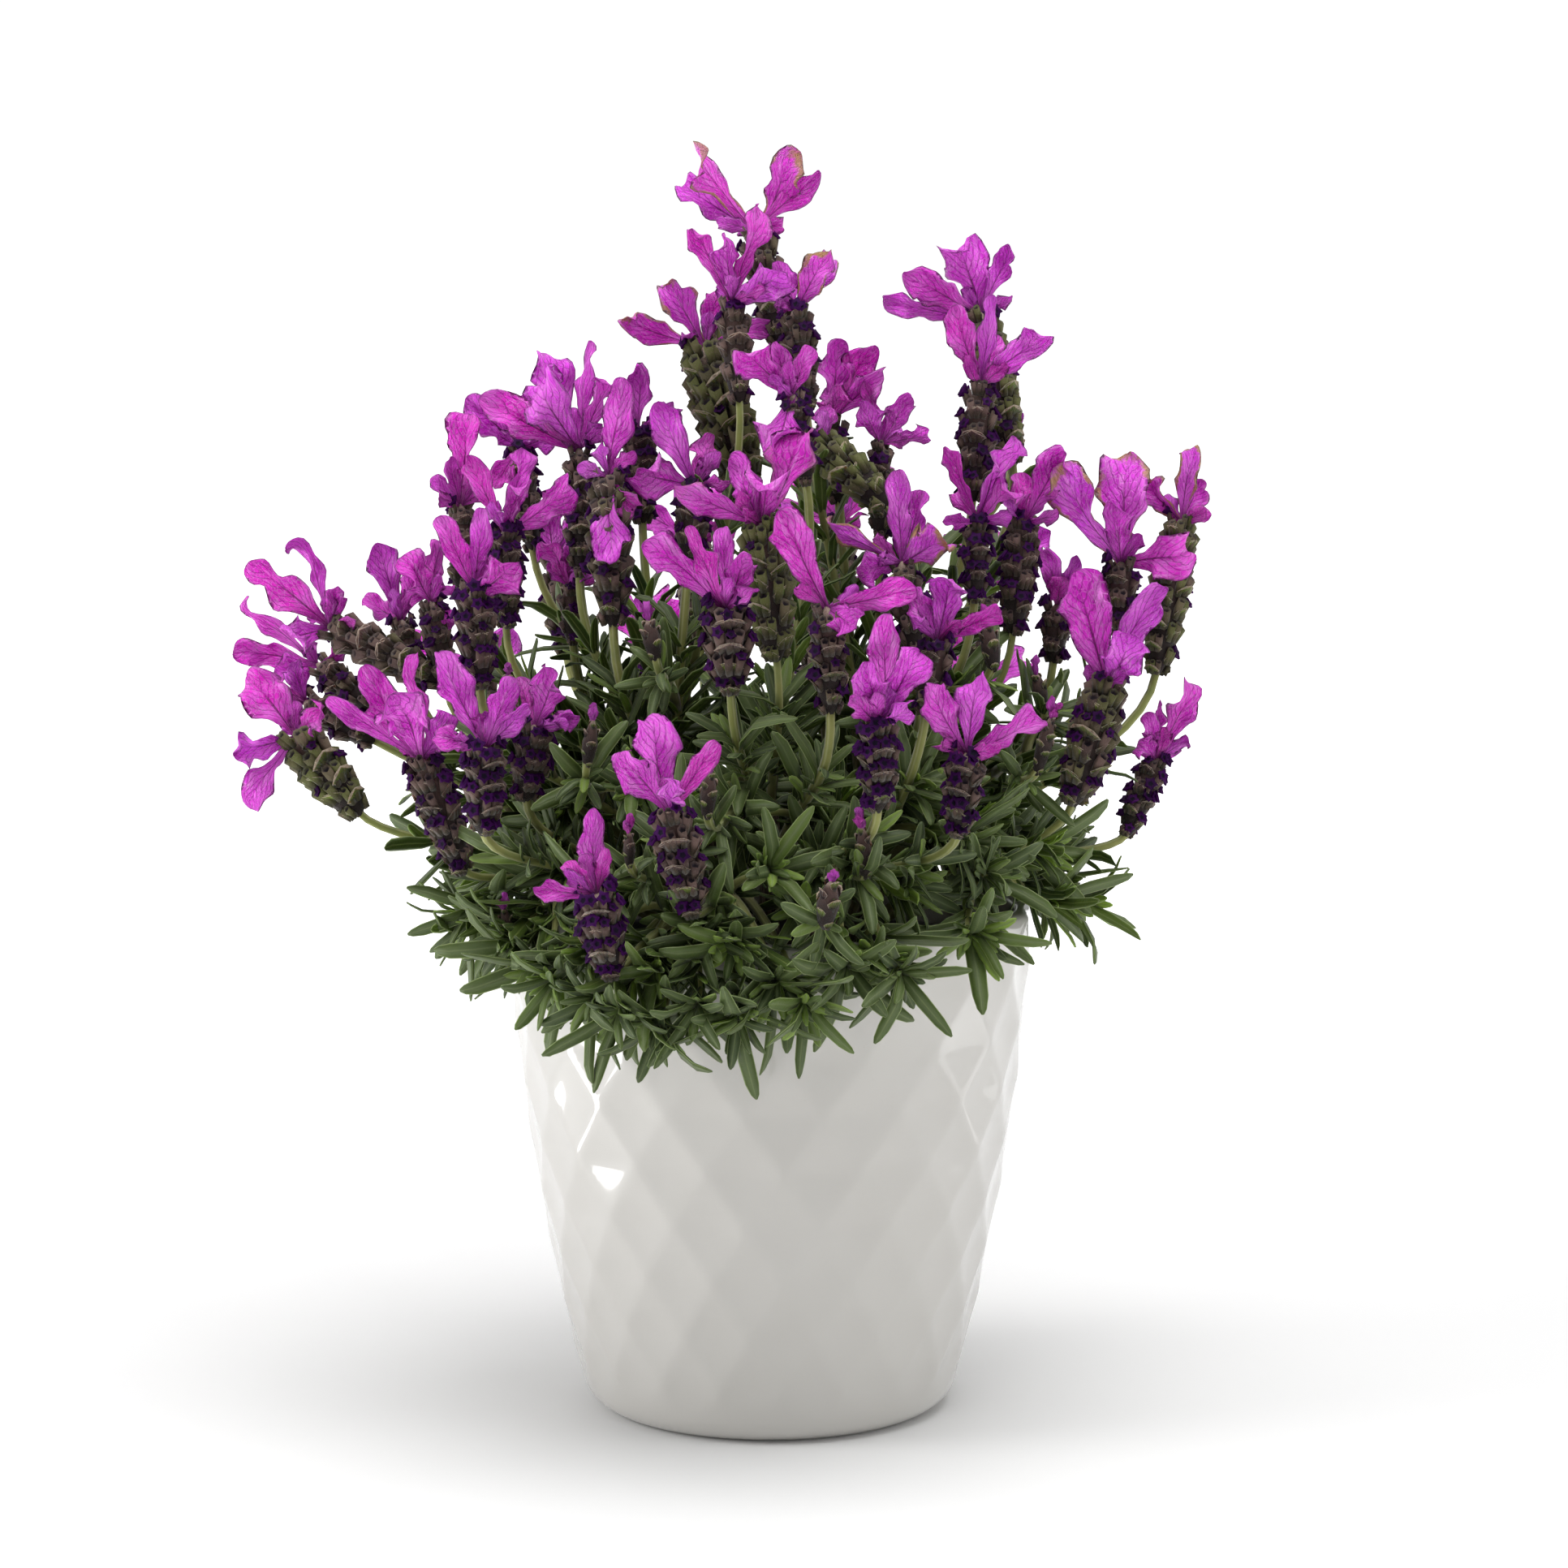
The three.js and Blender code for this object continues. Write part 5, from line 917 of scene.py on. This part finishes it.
class Paint:
    """A node tree, and short ways to add nodes to it. Each way gives back an output."""

    def __init__(self, tree, material=None):
        self.tree, self.material = tree, material

    def feed(self, made, inputs):
        """Constants set on a node's sockets, and outputs linked into them."""
        for key, value in inputs.items():
            if isinstance(value, bpy.types.NodeSocket):
                self.tree.links.new(value, made.inputs[key])
            else:
                made.inputs[key].default_value = value

    def node(self, kind, inputs=None, **settings):
        """One node, with its settings and its inputs."""
        made = self.tree.nodes.new(kind)
        for key, value in settings.items():
            setattr(made, key, value)
        self.feed(made, inputs or {})
        return made

    def calc(self, operation, a, b=0.0):
        """One step of arithmetic."""
        return self.node("ShaderNodeMath", {0: a, 1: b}, operation=operation).outputs[0]

    def times(self, a, b):
        """A product."""
        return self.calc("MULTIPLY", a, b)

    def ramp(self, value, low, high, to_low=0.0, to_high=1.0):
        """A value carried smoothly from one range to another."""
        inputs = {"Value": value, "From Min": low, "From Max": high, "To Min": to_low, "To Max": to_high}
        return self.node("ShaderNodeMapRange", inputs, interpolation_type="SMOOTHSTEP").outputs["Result"]

    def blend(self, share, a, b):
        """Two colours mixed by a share."""
        a, b = ((*v, 1.0) if isinstance(v, tuple) else v for v in (a, b))
        return self.node("ShaderNodeMix", {0: share, 6: a, 7: b}, data_type="RGBA").outputs[2]

    def coats(self, colour, *layers):
        """A colour under layers laid on one after another, each given as its mask and its colour."""
        for mask, layer in layers:
            colour = self.blend(mask, colour, layer)
        return colour

    def spot(self):
        """The place on the object, in metres."""
        return self.node("ShaderNodeTexCoord").outputs["Object"]

    def stretched(self, where, scale):
        """A place scaled along its three directions."""
        return self.node("ShaderNodeMapping", {"Vector": where, "Scale": scale}).outputs["Vector"]

    def noise(self, scale, detail=3.0, rough=0.5, where=None, shift=0.0):
        """Noise over the object, in steps of 1 / scale metres."""
        inputs = {"Vector": where or self.spot(), "Scale": scale, "Detail": detail, "Roughness": rough,
                  "Distortion": shift}
        return self.node("ShaderNodeTexNoise", inputs).outputs["Fac"]

    def tone(self):
        """The numbers each piece carries: random, then how woody, young, green or dried, then beneath or
        how deep in a calyx's throat, where the calyx paint lays painted shade."""
        given = self.node("ShaderNodeAttribute", attribute_name="tone", attribute_type="GEOMETRY")
        return self.node("ShaderNodeSeparateColor", {"Color": given.outputs["Color"]}).outputs

    def surface(self):
        """The surface's own coordinates: across and along."""
        given = self.node("ShaderNodeUVMap", uv_map="surface")
        split = self.node("ShaderNodeSeparateXYZ", {"Vector": given.outputs["UV"]}).outputs
        return split["X"], split["Y"]

    def off_middle(self, across):
        """The distance from the middle line."""
        return self.calc("ABSOLUTE", self.calc("SUBTRACT", across, 0.5))

    def cell(self, across, along, random):
        """A place made of the surface's coordinates, other for each random number."""
        return self.node("ShaderNodeCombineXYZ", {0: across, 1: along, 2: random}).outputs[0]

    def finish(self, colour, bump=None, **inputs):
        """The colour and the other inputs of the material's shader, with a bump given as the height, its
        strength and its distance in metres. Gives back the material."""
        shader = self.tree.nodes["Principled BSDF"]
        self.feed(shader, {"Base Color": colour, **{k.replace("_", " "): v for k, v in inputs.items()}})
        if bump:
            made = self.node("ShaderNodeBump", dict(zip(("Height", "Strength", "Distance"), bump)))
            self.tree.links.new(made.outputs["Normal"], shader.inputs["Normal"])
        return self.material


def new_material(name):
    """The paint for a new material."""
    made = bpy.data.materials.new(name)
    made.use_nodes = True
    return Paint(made.node_tree, made)


def glaze():
    """White glaze: a warm white body under a clear coat, faintly mottled and specked, with the gentle
    waves of a fired glaze."""
    p = new_material("white_glaze")
    colour = p.coats(
        p.blend(p.noise(28, 2), (0.575, 0.558, 0.522), (0.61, 0.595, 0.565)),
        (p.times(p.ramp(p.noise(900, 2), 0.72, 0.8), 0.12), (0.45, 0.41, 0.36)))
    return p.finish(
        colour, (p.noise(70, 2, 0.4), 0.06, 0.0005), Roughness=p.ramp(p.noise(60), 0.3, 0.7, 0.3, 0.36),
        Coat_Weight=1.0, Coat_Roughness=0.05, IOR=1.5)


def black_plastic():
    """Black moulded plastic, dusted with dried soil."""
    p = new_material("black_plastic")
    dust = p.ramp(p.noise(90, 5, 0.6), 0.5, 0.75)
    return p.finish(
        p.blend(dust, (0.018, 0.018, 0.018), (0.06, 0.052, 0.042)), (p.noise(1500, 2), 0.2, 0.0002),
        Roughness=p.ramp(dust, 0, 1, 0.38, 0.75))


def soil_paint():
    """Dark potting soil: peat and bark crumbs of several browns, with pale grains."""
    p = new_material("potting_soil")
    random, _, _ = p.tone()
    fine = p.noise(420, 6, 0.7)
    colour = p.coats(
        p.blend(p.ramp(fine, 0.35, 0.65), (0.016, 0.011, 0.008), (0.075, 0.05, 0.032)),
        (p.ramp(random, 0.6, 1.0, 0, 0.6), (0.11, 0.07, 0.042)),
        (p.times(p.ramp(p.noise(700, 2), 0.7, 0.76), 0.5), (0.3, 0.26, 0.2)))
    return p.finish(colour, (fine, 0.9, 0.0016), Roughness=0.92, Specular_IOR_Level=0.25)


def bark_paint():
    """Grey-brown bark, flaking in long strips up the stem."""
    p = new_material("woody_bark")
    strip = p.noise(900, 5, 0.65, p.stretched(p.spot(), (1.0, 1.0, 0.18)))
    colour = p.blend(p.ramp(strip, 0.35, 0.65), (0.06, 0.042, 0.03), (0.24, 0.19, 0.14))
    return p.finish(colour, (strip, 0.8, 0.0012), Roughness=0.88, Specular_IOR_Level=0.3)


def stalk_paint():
    """Flower stalks: pale yellow-green with lighter ridges, woody brown toward the root, downy."""
    p = new_material("green_stalk")
    random, wood, _ = p.tone()
    ridge, _ = p.surface()
    green = p.coats(
        p.blend(random, (0.19, 0.215, 0.05), (0.30, 0.31, 0.095)),
        (p.ramp(ridge, 0.45, 1.0, 0, 0.6), (0.47, 0.48, 0.24)),
        (p.ramp(p.noise(160), 0.45, 0.7, 0, 0.4), (0.13, 0.18, 0.06)))
    brown = p.blend(p.noise(500), (0.07, 0.055, 0.03), (0.16, 0.13, 0.075))
    return p.finish(
        p.blend(p.times(wood, 0.75), green, brown), (p.noise(2600, 2), 0.35, 0.0002), Roughness=0.62,
        Specular_IOR_Level=0.35, Sheen_Weight=0.35, Sheen_Roughness=0.4)


def leaf_paint():
    """Leaves: deep green with a pale downy margin and midrib, fresher green when young, paler beneath."""
    p = new_material("lavender_leaf")
    random, youth, beneath = p.tone()
    across, _ = p.surface()
    off = p.off_middle(across)
    midrib = p.ramp(off, 0.02, 0.075, 1, 0)
    old = p.blend(random, (0.013, 0.034, 0.003), (0.070, 0.112, 0.014))
    fresh = p.blend(random, (0.15, 0.26, 0.02), (0.27, 0.41, 0.05))
    colour = p.coats(
        p.blend(p.ramp(youth, 0.15, 1.0), old, fresh),
        (p.ramp(p.noise(260, 4), 0.45, 0.75, 0, 0.3), (0.085, 0.12, 0.04)),
        (p.times(midrib, 0.5), (0.22, 0.28, 0.08)),
        (p.times(p.ramp(off, 0.42, 0.475), 0.78), (0.34, 0.41, 0.18)),
        (p.times(beneath, 0.6), (0.13, 0.165, 0.08)))
    return p.finish(
        colour, (p.calc("ADD", p.times(midrib, -0.6), p.noise(1500)), 0.4, 0.0003), Roughness=0.5,
        Specular_IOR_Level=0.36, Sheen_Weight=0.05, Sheen_Roughness=0.35, Subsurface_Weight=0.12,
        Subsurface_Radius=(0.3, 0.5, 0.1), Subsurface_Scale=0.002)


def scale_paint():
    """Flower scales: brown-purple or green hoods with fanning ribs and a pale, hairy margin, and painted
    shade that darkens each to near black toward its foot, deep between the scales.
    """
    p = new_material("flower_scale")
    random, green, _ = p.tone()
    across, along = p.surface()
    purple = p.blend(random, (0.058, 0.033, 0.029), (0.175, 0.108, 0.092))
    leafy = p.blend(random, (0.085, 0.125, 0.015), (0.165, 0.22, 0.032))
    share = p.calc("ADD", green, p.times(p.noise(500, 2), 0.5))
    ribs = p.calc("SINE", p.times(across, 56.0))
    edge = p.calc("MAXIMUM", p.ramp(along, 0.86, 0.99), p.ramp(p.off_middle(across), 0.43, 0.5))
    down = p.ramp(p.noise(3200), 0.35, 0.62)
    hairy = p.times(edge, p.calc("ADD", p.times(down, 0.45), 0.5))
    colour = p.coats(
        p.blend(p.ramp(share, 0.5, 0.95), purple, leafy),
        # Painted shade: near black toward the foot of each scale, and of each spike's axis, deep in the spike
        (p.ramp(along, 0.3, 0.92, 0.95, 0), (0.016, 0.011, 0.010)),
        (p.ramp(ribs, 0.2, 1.0, 0, 0.4), (0.03, 0.02, 0.022)),
        (hairy, (0.52, 0.405, 0.325)))
    return p.finish(
        colour, (p.calc("ADD", ribs, down), 0.5, 0.0002), Roughness=0.7, Specular_IOR_Level=0.24,
        Sheen_Weight=0.12, Sheen_Roughness=0.4, Subsurface_Weight=0.1, Subsurface_Scale=0.001)


def calyx_paint():
    """Calyx tubes: downy mauve-brown, or green, darker at the foot, and painted near black as shade in
    the throat.
    """
    p = new_material("calyx")
    random, green, throat = p.tone()
    _, along = p.surface()
    colour = p.coats(
        p.blend(random, (0.052, 0.031, 0.028), (0.145, 0.092, 0.078)),
        (p.ramp(green, 0.3, 1.0, 0, 0.85), (0.10, 0.115, 0.028)),
        (p.ramp(along, 0.75, 0.1, 0, 0.75), (0.045, 0.042, 0.02)),
        (p.ramp(p.noise(2600), 0.5, 0.75, 0, 0.3), (0.25, 0.18, 0.16)),
        # Painted shade: the turned-in throat near black
        (p.ramp(throat, 0.35, 0.9), (0.012, 0.006, 0.012)))
    return p.finish(
        colour, (p.noise(2600, 2), 0.5, 0.0002), Roughness=0.75, Specular_IOR_Level=0.25,
        Sheen_Weight=0.15, Sheen_Roughness=0.4)


def floret_paint():
    """Florets: dark velvety violet, painted near black as shade in the throat, with a fine rim of lighter
    violet.
    """
    p = new_material("dark_floret")
    random, _, _ = p.tone()
    _, along = p.surface()
    colour = p.coats(
        p.blend(random, (0.020, 0.0002, 0.034), (0.042, 0.0004, 0.070)),
        (p.ramp(along, 0.92, 1.0, 0, 0.4), (0.09, 0.006, 0.13)),
        # Painted shade: the sunken throat near black
        (p.ramp(along, 0.35, 0.05), (0.004, 0.001, 0.01)))
    return p.finish(
        colour, (p.noise(1800), 0.4, 0.0002), Roughness=0.6, Specular_IOR_Level=0.12, Sheen_Weight=0.04,
        Sheen_Roughness=0.3, Sheen_Tint=(0.45, 0.15, 1.0, 1.0))


def vein_group():
    """The veins of a bract, from its own two coordinates: a midrib that fades toward the tip, side
    veins that fan from it, and a fine net between them. Puts out a rib, a vein and a net mask."""
    group = bpy.data.node_groups.new("bract_veins", "ShaderNodeTree")
    for way, names in (("INPUT", ("Across", "Along", "Random")), ("OUTPUT", ("Rib", "Vein", "Net"))):
        for name in names:
            group.interface.new_socket(name, in_out=way, socket_type="NodeSocketFloat")
    across, along, random, _ = group.nodes.new("NodeGroupInput").outputs
    p = Paint(group)
    off = p.off_middle(across)
    rib = p.ramp(p.calc("DIVIDE", off, p.ramp(along, 0.0, 1.0, 0.035, 0.01)), 0.5, 1.4, 1, 0)
    cell = p.cell(across, along, random)
    lean = p.calc("SUBTRACT", along, p.times(off, 0.75))
    wobbly = p.calc("ADD", lean, p.times(p.noise(5.0, 2, 0.5, cell), 0.16))
    side = p.ramp(p.calc("SINE", p.times(wobbly, 52.0)), 0.72, 1.0)
    net = p.node("ShaderNodeTexVoronoi", {"Vector": p.stretched(cell, (10.0, 17.0, 31.0)), "Scale": 1.0},
                 feature="DISTANCE_TO_EDGE").outputs["Distance"]
    p.feed(group.nodes.new("NodeGroupOutput"), {
        "Rib": p.times(rib, p.ramp(along, 0.9, 0.35)), "Net": p.ramp(net, 0.0, 0.12, 1, 0),
        "Vein": p.times(side, p.ramp(off, 0.5, 0.3, 0.25, 1.0))})
    return group


def bract_paint():
    """Violet bracts: magenta-violet lit through, with painted highlights on the pleats' crests and painted
    shade in their folds, a dark midrib, a paler net of veins, uneven lilac patches, a thin dark outline,
    and brown where a bract has dried."""
    p = new_material("violet_bract")
    random, dried, beneath = p.tone()
    across, along = p.surface()
    veins = p.node("ShaderNodeGroup", node_tree=vein_group())
    p.feed(veins, {"Across": across, "Along": along, "Random": random})
    rib, vein, net = (veins.outputs[name] for name in ("Rib", "Vein", "Net"))
    patch = p.noise(110, 3, 0.55)
    pleat_and_painted_light = p.noise(1.0, 3, 0.6, p.stretched(p.cell(across, along, random), (9.0, 2.6, 17.0)), 0.6)
    off = p.off_middle(across)
    rim = p.calc("MAXIMUM", p.ramp(off, 0.475, 0.5), p.ramp(along, 0.975, 1.0))
    near_edge = p.calc("MAXIMUM", p.ramp(off, 0.15, 0.5), p.ramp(along, 0.55, 1.0))
    worn = p.calc("ADD", p.times(near_edge, 0.65), p.times(p.noise(120, 4, 0.6), 1.6))
    worn = p.times(p.ramp(worn, 1.14, 1.5), dried)
    brown = p.blend(p.noise(300), (0.34, 0.15, 0.05), (0.60, 0.38, 0.19))
    colour = p.coats(
        # Painted highlight on the pleats' crests, then painted shade in their folds; the same noise raises
        # the bump
        p.blend(random, (0.88, 0.026, 0.62), (0.83, 0.085, 0.90)),
        (p.ramp(pleat_and_painted_light, 0.5, 0.7, 0, 0.7), (1.0, 0.32, 0.93)),
        (p.ramp(pleat_and_painted_light, 0.46, 0.28, 0, 0.65), (0.44, 0.006, 0.36)),
        (p.ramp(patch, 0.42, 0.72, 0, 0.6), (0.92, 0.20, 0.86)),
        (p.ramp(patch, 0.5, 0.3, 0, 0.6), (0.47, 0.006, 0.41)),
        (p.ramp(along, 0.3, 0.0, 0, 0.75), (0.20, 0.02, 0.17)),
        (p.times(net, 0.3), (0.95, 0.42, 0.88)),
        (p.times(vein, 0.5), (0.28, 0.014, 0.24)),
        (p.times(rib, 0.75), (0.13, 0.018, 0.085)),
        (p.times(rim, 0.55), (0.20, 0.01, 0.19)),
        (p.ramp(worn, 0.15, 0.55), brown),
        (p.times(beneath, 0.22), (0.70, 0.14, 0.66)))
    relief = p.times(rib, -1.0)
    for part, depth in ((vein, -0.5), (net, -0.3), (pleat_and_painted_light, 3.2)):
        relief = p.calc("ADD", relief, p.times(part, depth))
    return p.finish(
        colour, (relief, 0.85, 0.0007), Roughness=0.5, Specular_IOR_Level=0.16, Subsurface_Weight=0.22,
        Subsurface_Radius=(1.0, 0.25, 1.0), Subsurface_Scale=0.0016, Sheen_Weight=0.03,
        Sheen_Roughness=0.5)


def floor_paint():
    """A plain pale tabletop with the faintest unevenness, which glows more the farther it is from the
    pot, like a light table."""
    p = new_material("pale_floor")
    away = p.node("ShaderNodeVectorMath", {0: p.spot()}, operation="LENGTH").outputs["Value"]
    return p.finish(
        p.blend(p.noise(4, 2), (0.90, 0.90, 0.90), (0.92, 0.92, 0.92)), Roughness=0.85,
        Specular_IOR_Level=0.1, Emission_Strength=0.85,
        Emission_Color=p.blend(p.ramp(away, 0.25, 1.2), (0.015, 0.015, 0.015), (1.0, 1.0, 1.0)))


# The stage: floor, light and camera

def lay_floor():
    """A plain round tabletop, far wider than the view: rings of points on a flat disc."""
    count, drop = FLOOR["around"], FLOOR["drop"]
    points = around((np.arange(count) * 360 / count)[None], np.array(FLOOR["radii"])[:, None], -drop)
    here, there = np.arange(count), (np.arange(count) + 1) % count
    rows = [count * k + np.stack([here, count + here, count + there, there], -1) for k in (0, 1)]
    mesh = bpy.data.meshes.new("pale_floor")
    mesh.from_pydata((points.reshape(-1, 3) * MM).tolist(), [],
                     [list(range(count)), *np.concatenate(rows).tolist()])
    mesh.materials.append(floor_paint())
    floor = bpy.data.objects.new("pale_floor", mesh)
    bpy.context.scene.collection.objects.link(floor)


def light_stage():
    """Plain soft studio light: a pale room, dimmer toward the front, which the camera sees as plain
    white, and the listed lamps: one overhead, and a window and a faint glow from below on each side."""
    world = bpy.data.worlds.new("pale_room")
    world.use_nodes = True
    p = Paint(world.node_tree)
    facing = p.node("ShaderNodeTexCoord").outputs["Generated"]
    back = p.node("ShaderNodeSeparateXYZ", {"Vector": facing}).outputs["Y"]
    seen = p.node("ShaderNodeLightPath").outputs["Is Camera Ray"]
    colour = p.blend(p.ramp(back, -0.9, 0.9), (0.2, 0.2, 0.2), (0.62, 0.62, 0.62))
    p.feed(world.node_tree.nodes["Background"], {"Color": p.blend(seen, colour, (1.05, 1.05, 1.05))})
    bpy.context.scene.world = world
    for name, place, aim, width, height, watts in LAMPS:
        lamp = bpy.data.lights.new(name, "AREA")
        lamp.shape, lamp.size, lamp.size_y, lamp.energy = "RECTANGLE", width, height, watts
        made = bpy.data.objects.new(name, lamp)
        made.location = place
        made.rotation_euler = (Vector(aim) - Vector(place)).to_track_quat("-Z", "Y").to_euler()
        made.visible_camera = False
        bpy.context.scene.collection.objects.link(made)
    bpy.context.scene.view_settings.view_transform = "Standard"


def set_camera():
    """The camera: in front, a little above the rim, tipped down."""
    lens = bpy.data.cameras.new("front_camera")
    lens.lens, lens.sensor_width, lens.sensor_fit = CAMERA["lens"], CAMERA["sensor"], "HORIZONTAL"
    camera = bpy.data.objects.new("front_camera", lens)
    camera.location = CAMERA["place"]
    camera.rotation_euler = (math.radians(CAMERA["tip"]), 0, 0)
    bpy.context.scene.collection.objects.link(camera)
    bpy.context.scene.camera = camera


# The whole plant

def dress_stem(k, shoots, leaves, spikes, paints):
    """The pieces of one leafy stem: its shoots, leaves, spikes, florets and the tips of its buds."""
    stalk, bark, blade, hood, tube, petal, violet = paints
    shoots, leaves, spikes = (pick(table, table["stem"] == k) for table in (shoots, leaves, spikes))
    blooms, buds = pick(spikes, ~spikes["bud"]), pick(spikes, spikes["bud"])
    calyces = calyx_table(blooms, SPIKE)
    number = calyces["number"]
    favour = 0.3 + 1.4 * chance(blooms["place"][number] + 0.37 * calyces["rank"])
    open_now = chance(calyces["place"] + 0.77) < blooms["look"][number, 1] * FLORET["open"] * favour
    skins, tips = [spike_cores(blooms, SPIKE), scale_skins(blooms, SPIKE, 1.0),
                   {**calyx_skins(calyces), "material": 1}], []
    if len(buds["tip"]):
        skins += [spike_cores(buds, BUD), scale_skins(buds, BUD, 0.0)]
        tips = [("bud_tips", [bud_tips(buds)], [violet], "violet_bracts")]
    green = "stems_and_leaves"
    for name, made, materials, slot in [
            ("shoots", [stalks(shoots), {**woody_stem(k), "material": 1}], [stalk, bark], green),
            ("leaves", [leaf_skins(leaves)], [blade], green), ("spikes", skins, [hood, tube], green),
            ("florets", [floret_skins(calyces, open_now)], [petal], green), *tips]:
        piece(f"{name}_{k + 1}", made, materials, [f"leafy_stem_{k + 1}"])


def dress():
    """Every piece of the plant and its pots."""
    cover_pot()
    growing_pot()
    potting_soil()
    spikes = spike_table()
    shoots = place_shoots(spikes)
    leaves = leaf_table(shoots)
    paints = [paint() for paint in (stalk_paint, bark_paint, leaf_paint, scale_paint, calyx_paint,
                                    floret_paint, bract_paint)]
    for k in range(STEM["count"]):
        dress_stem(k, shoots, leaves, spikes, paints)
    for number in range(len(BLOOMS)):
        tuft(number, paints[-1])


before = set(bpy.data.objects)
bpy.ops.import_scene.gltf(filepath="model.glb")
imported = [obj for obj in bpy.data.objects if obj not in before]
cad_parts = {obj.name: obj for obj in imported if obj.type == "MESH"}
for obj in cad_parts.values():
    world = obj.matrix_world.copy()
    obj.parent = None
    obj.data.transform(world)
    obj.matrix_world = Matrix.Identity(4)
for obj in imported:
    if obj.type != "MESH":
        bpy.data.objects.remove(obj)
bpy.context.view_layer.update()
dress()
lay_floor()
light_stage()
set_camera()
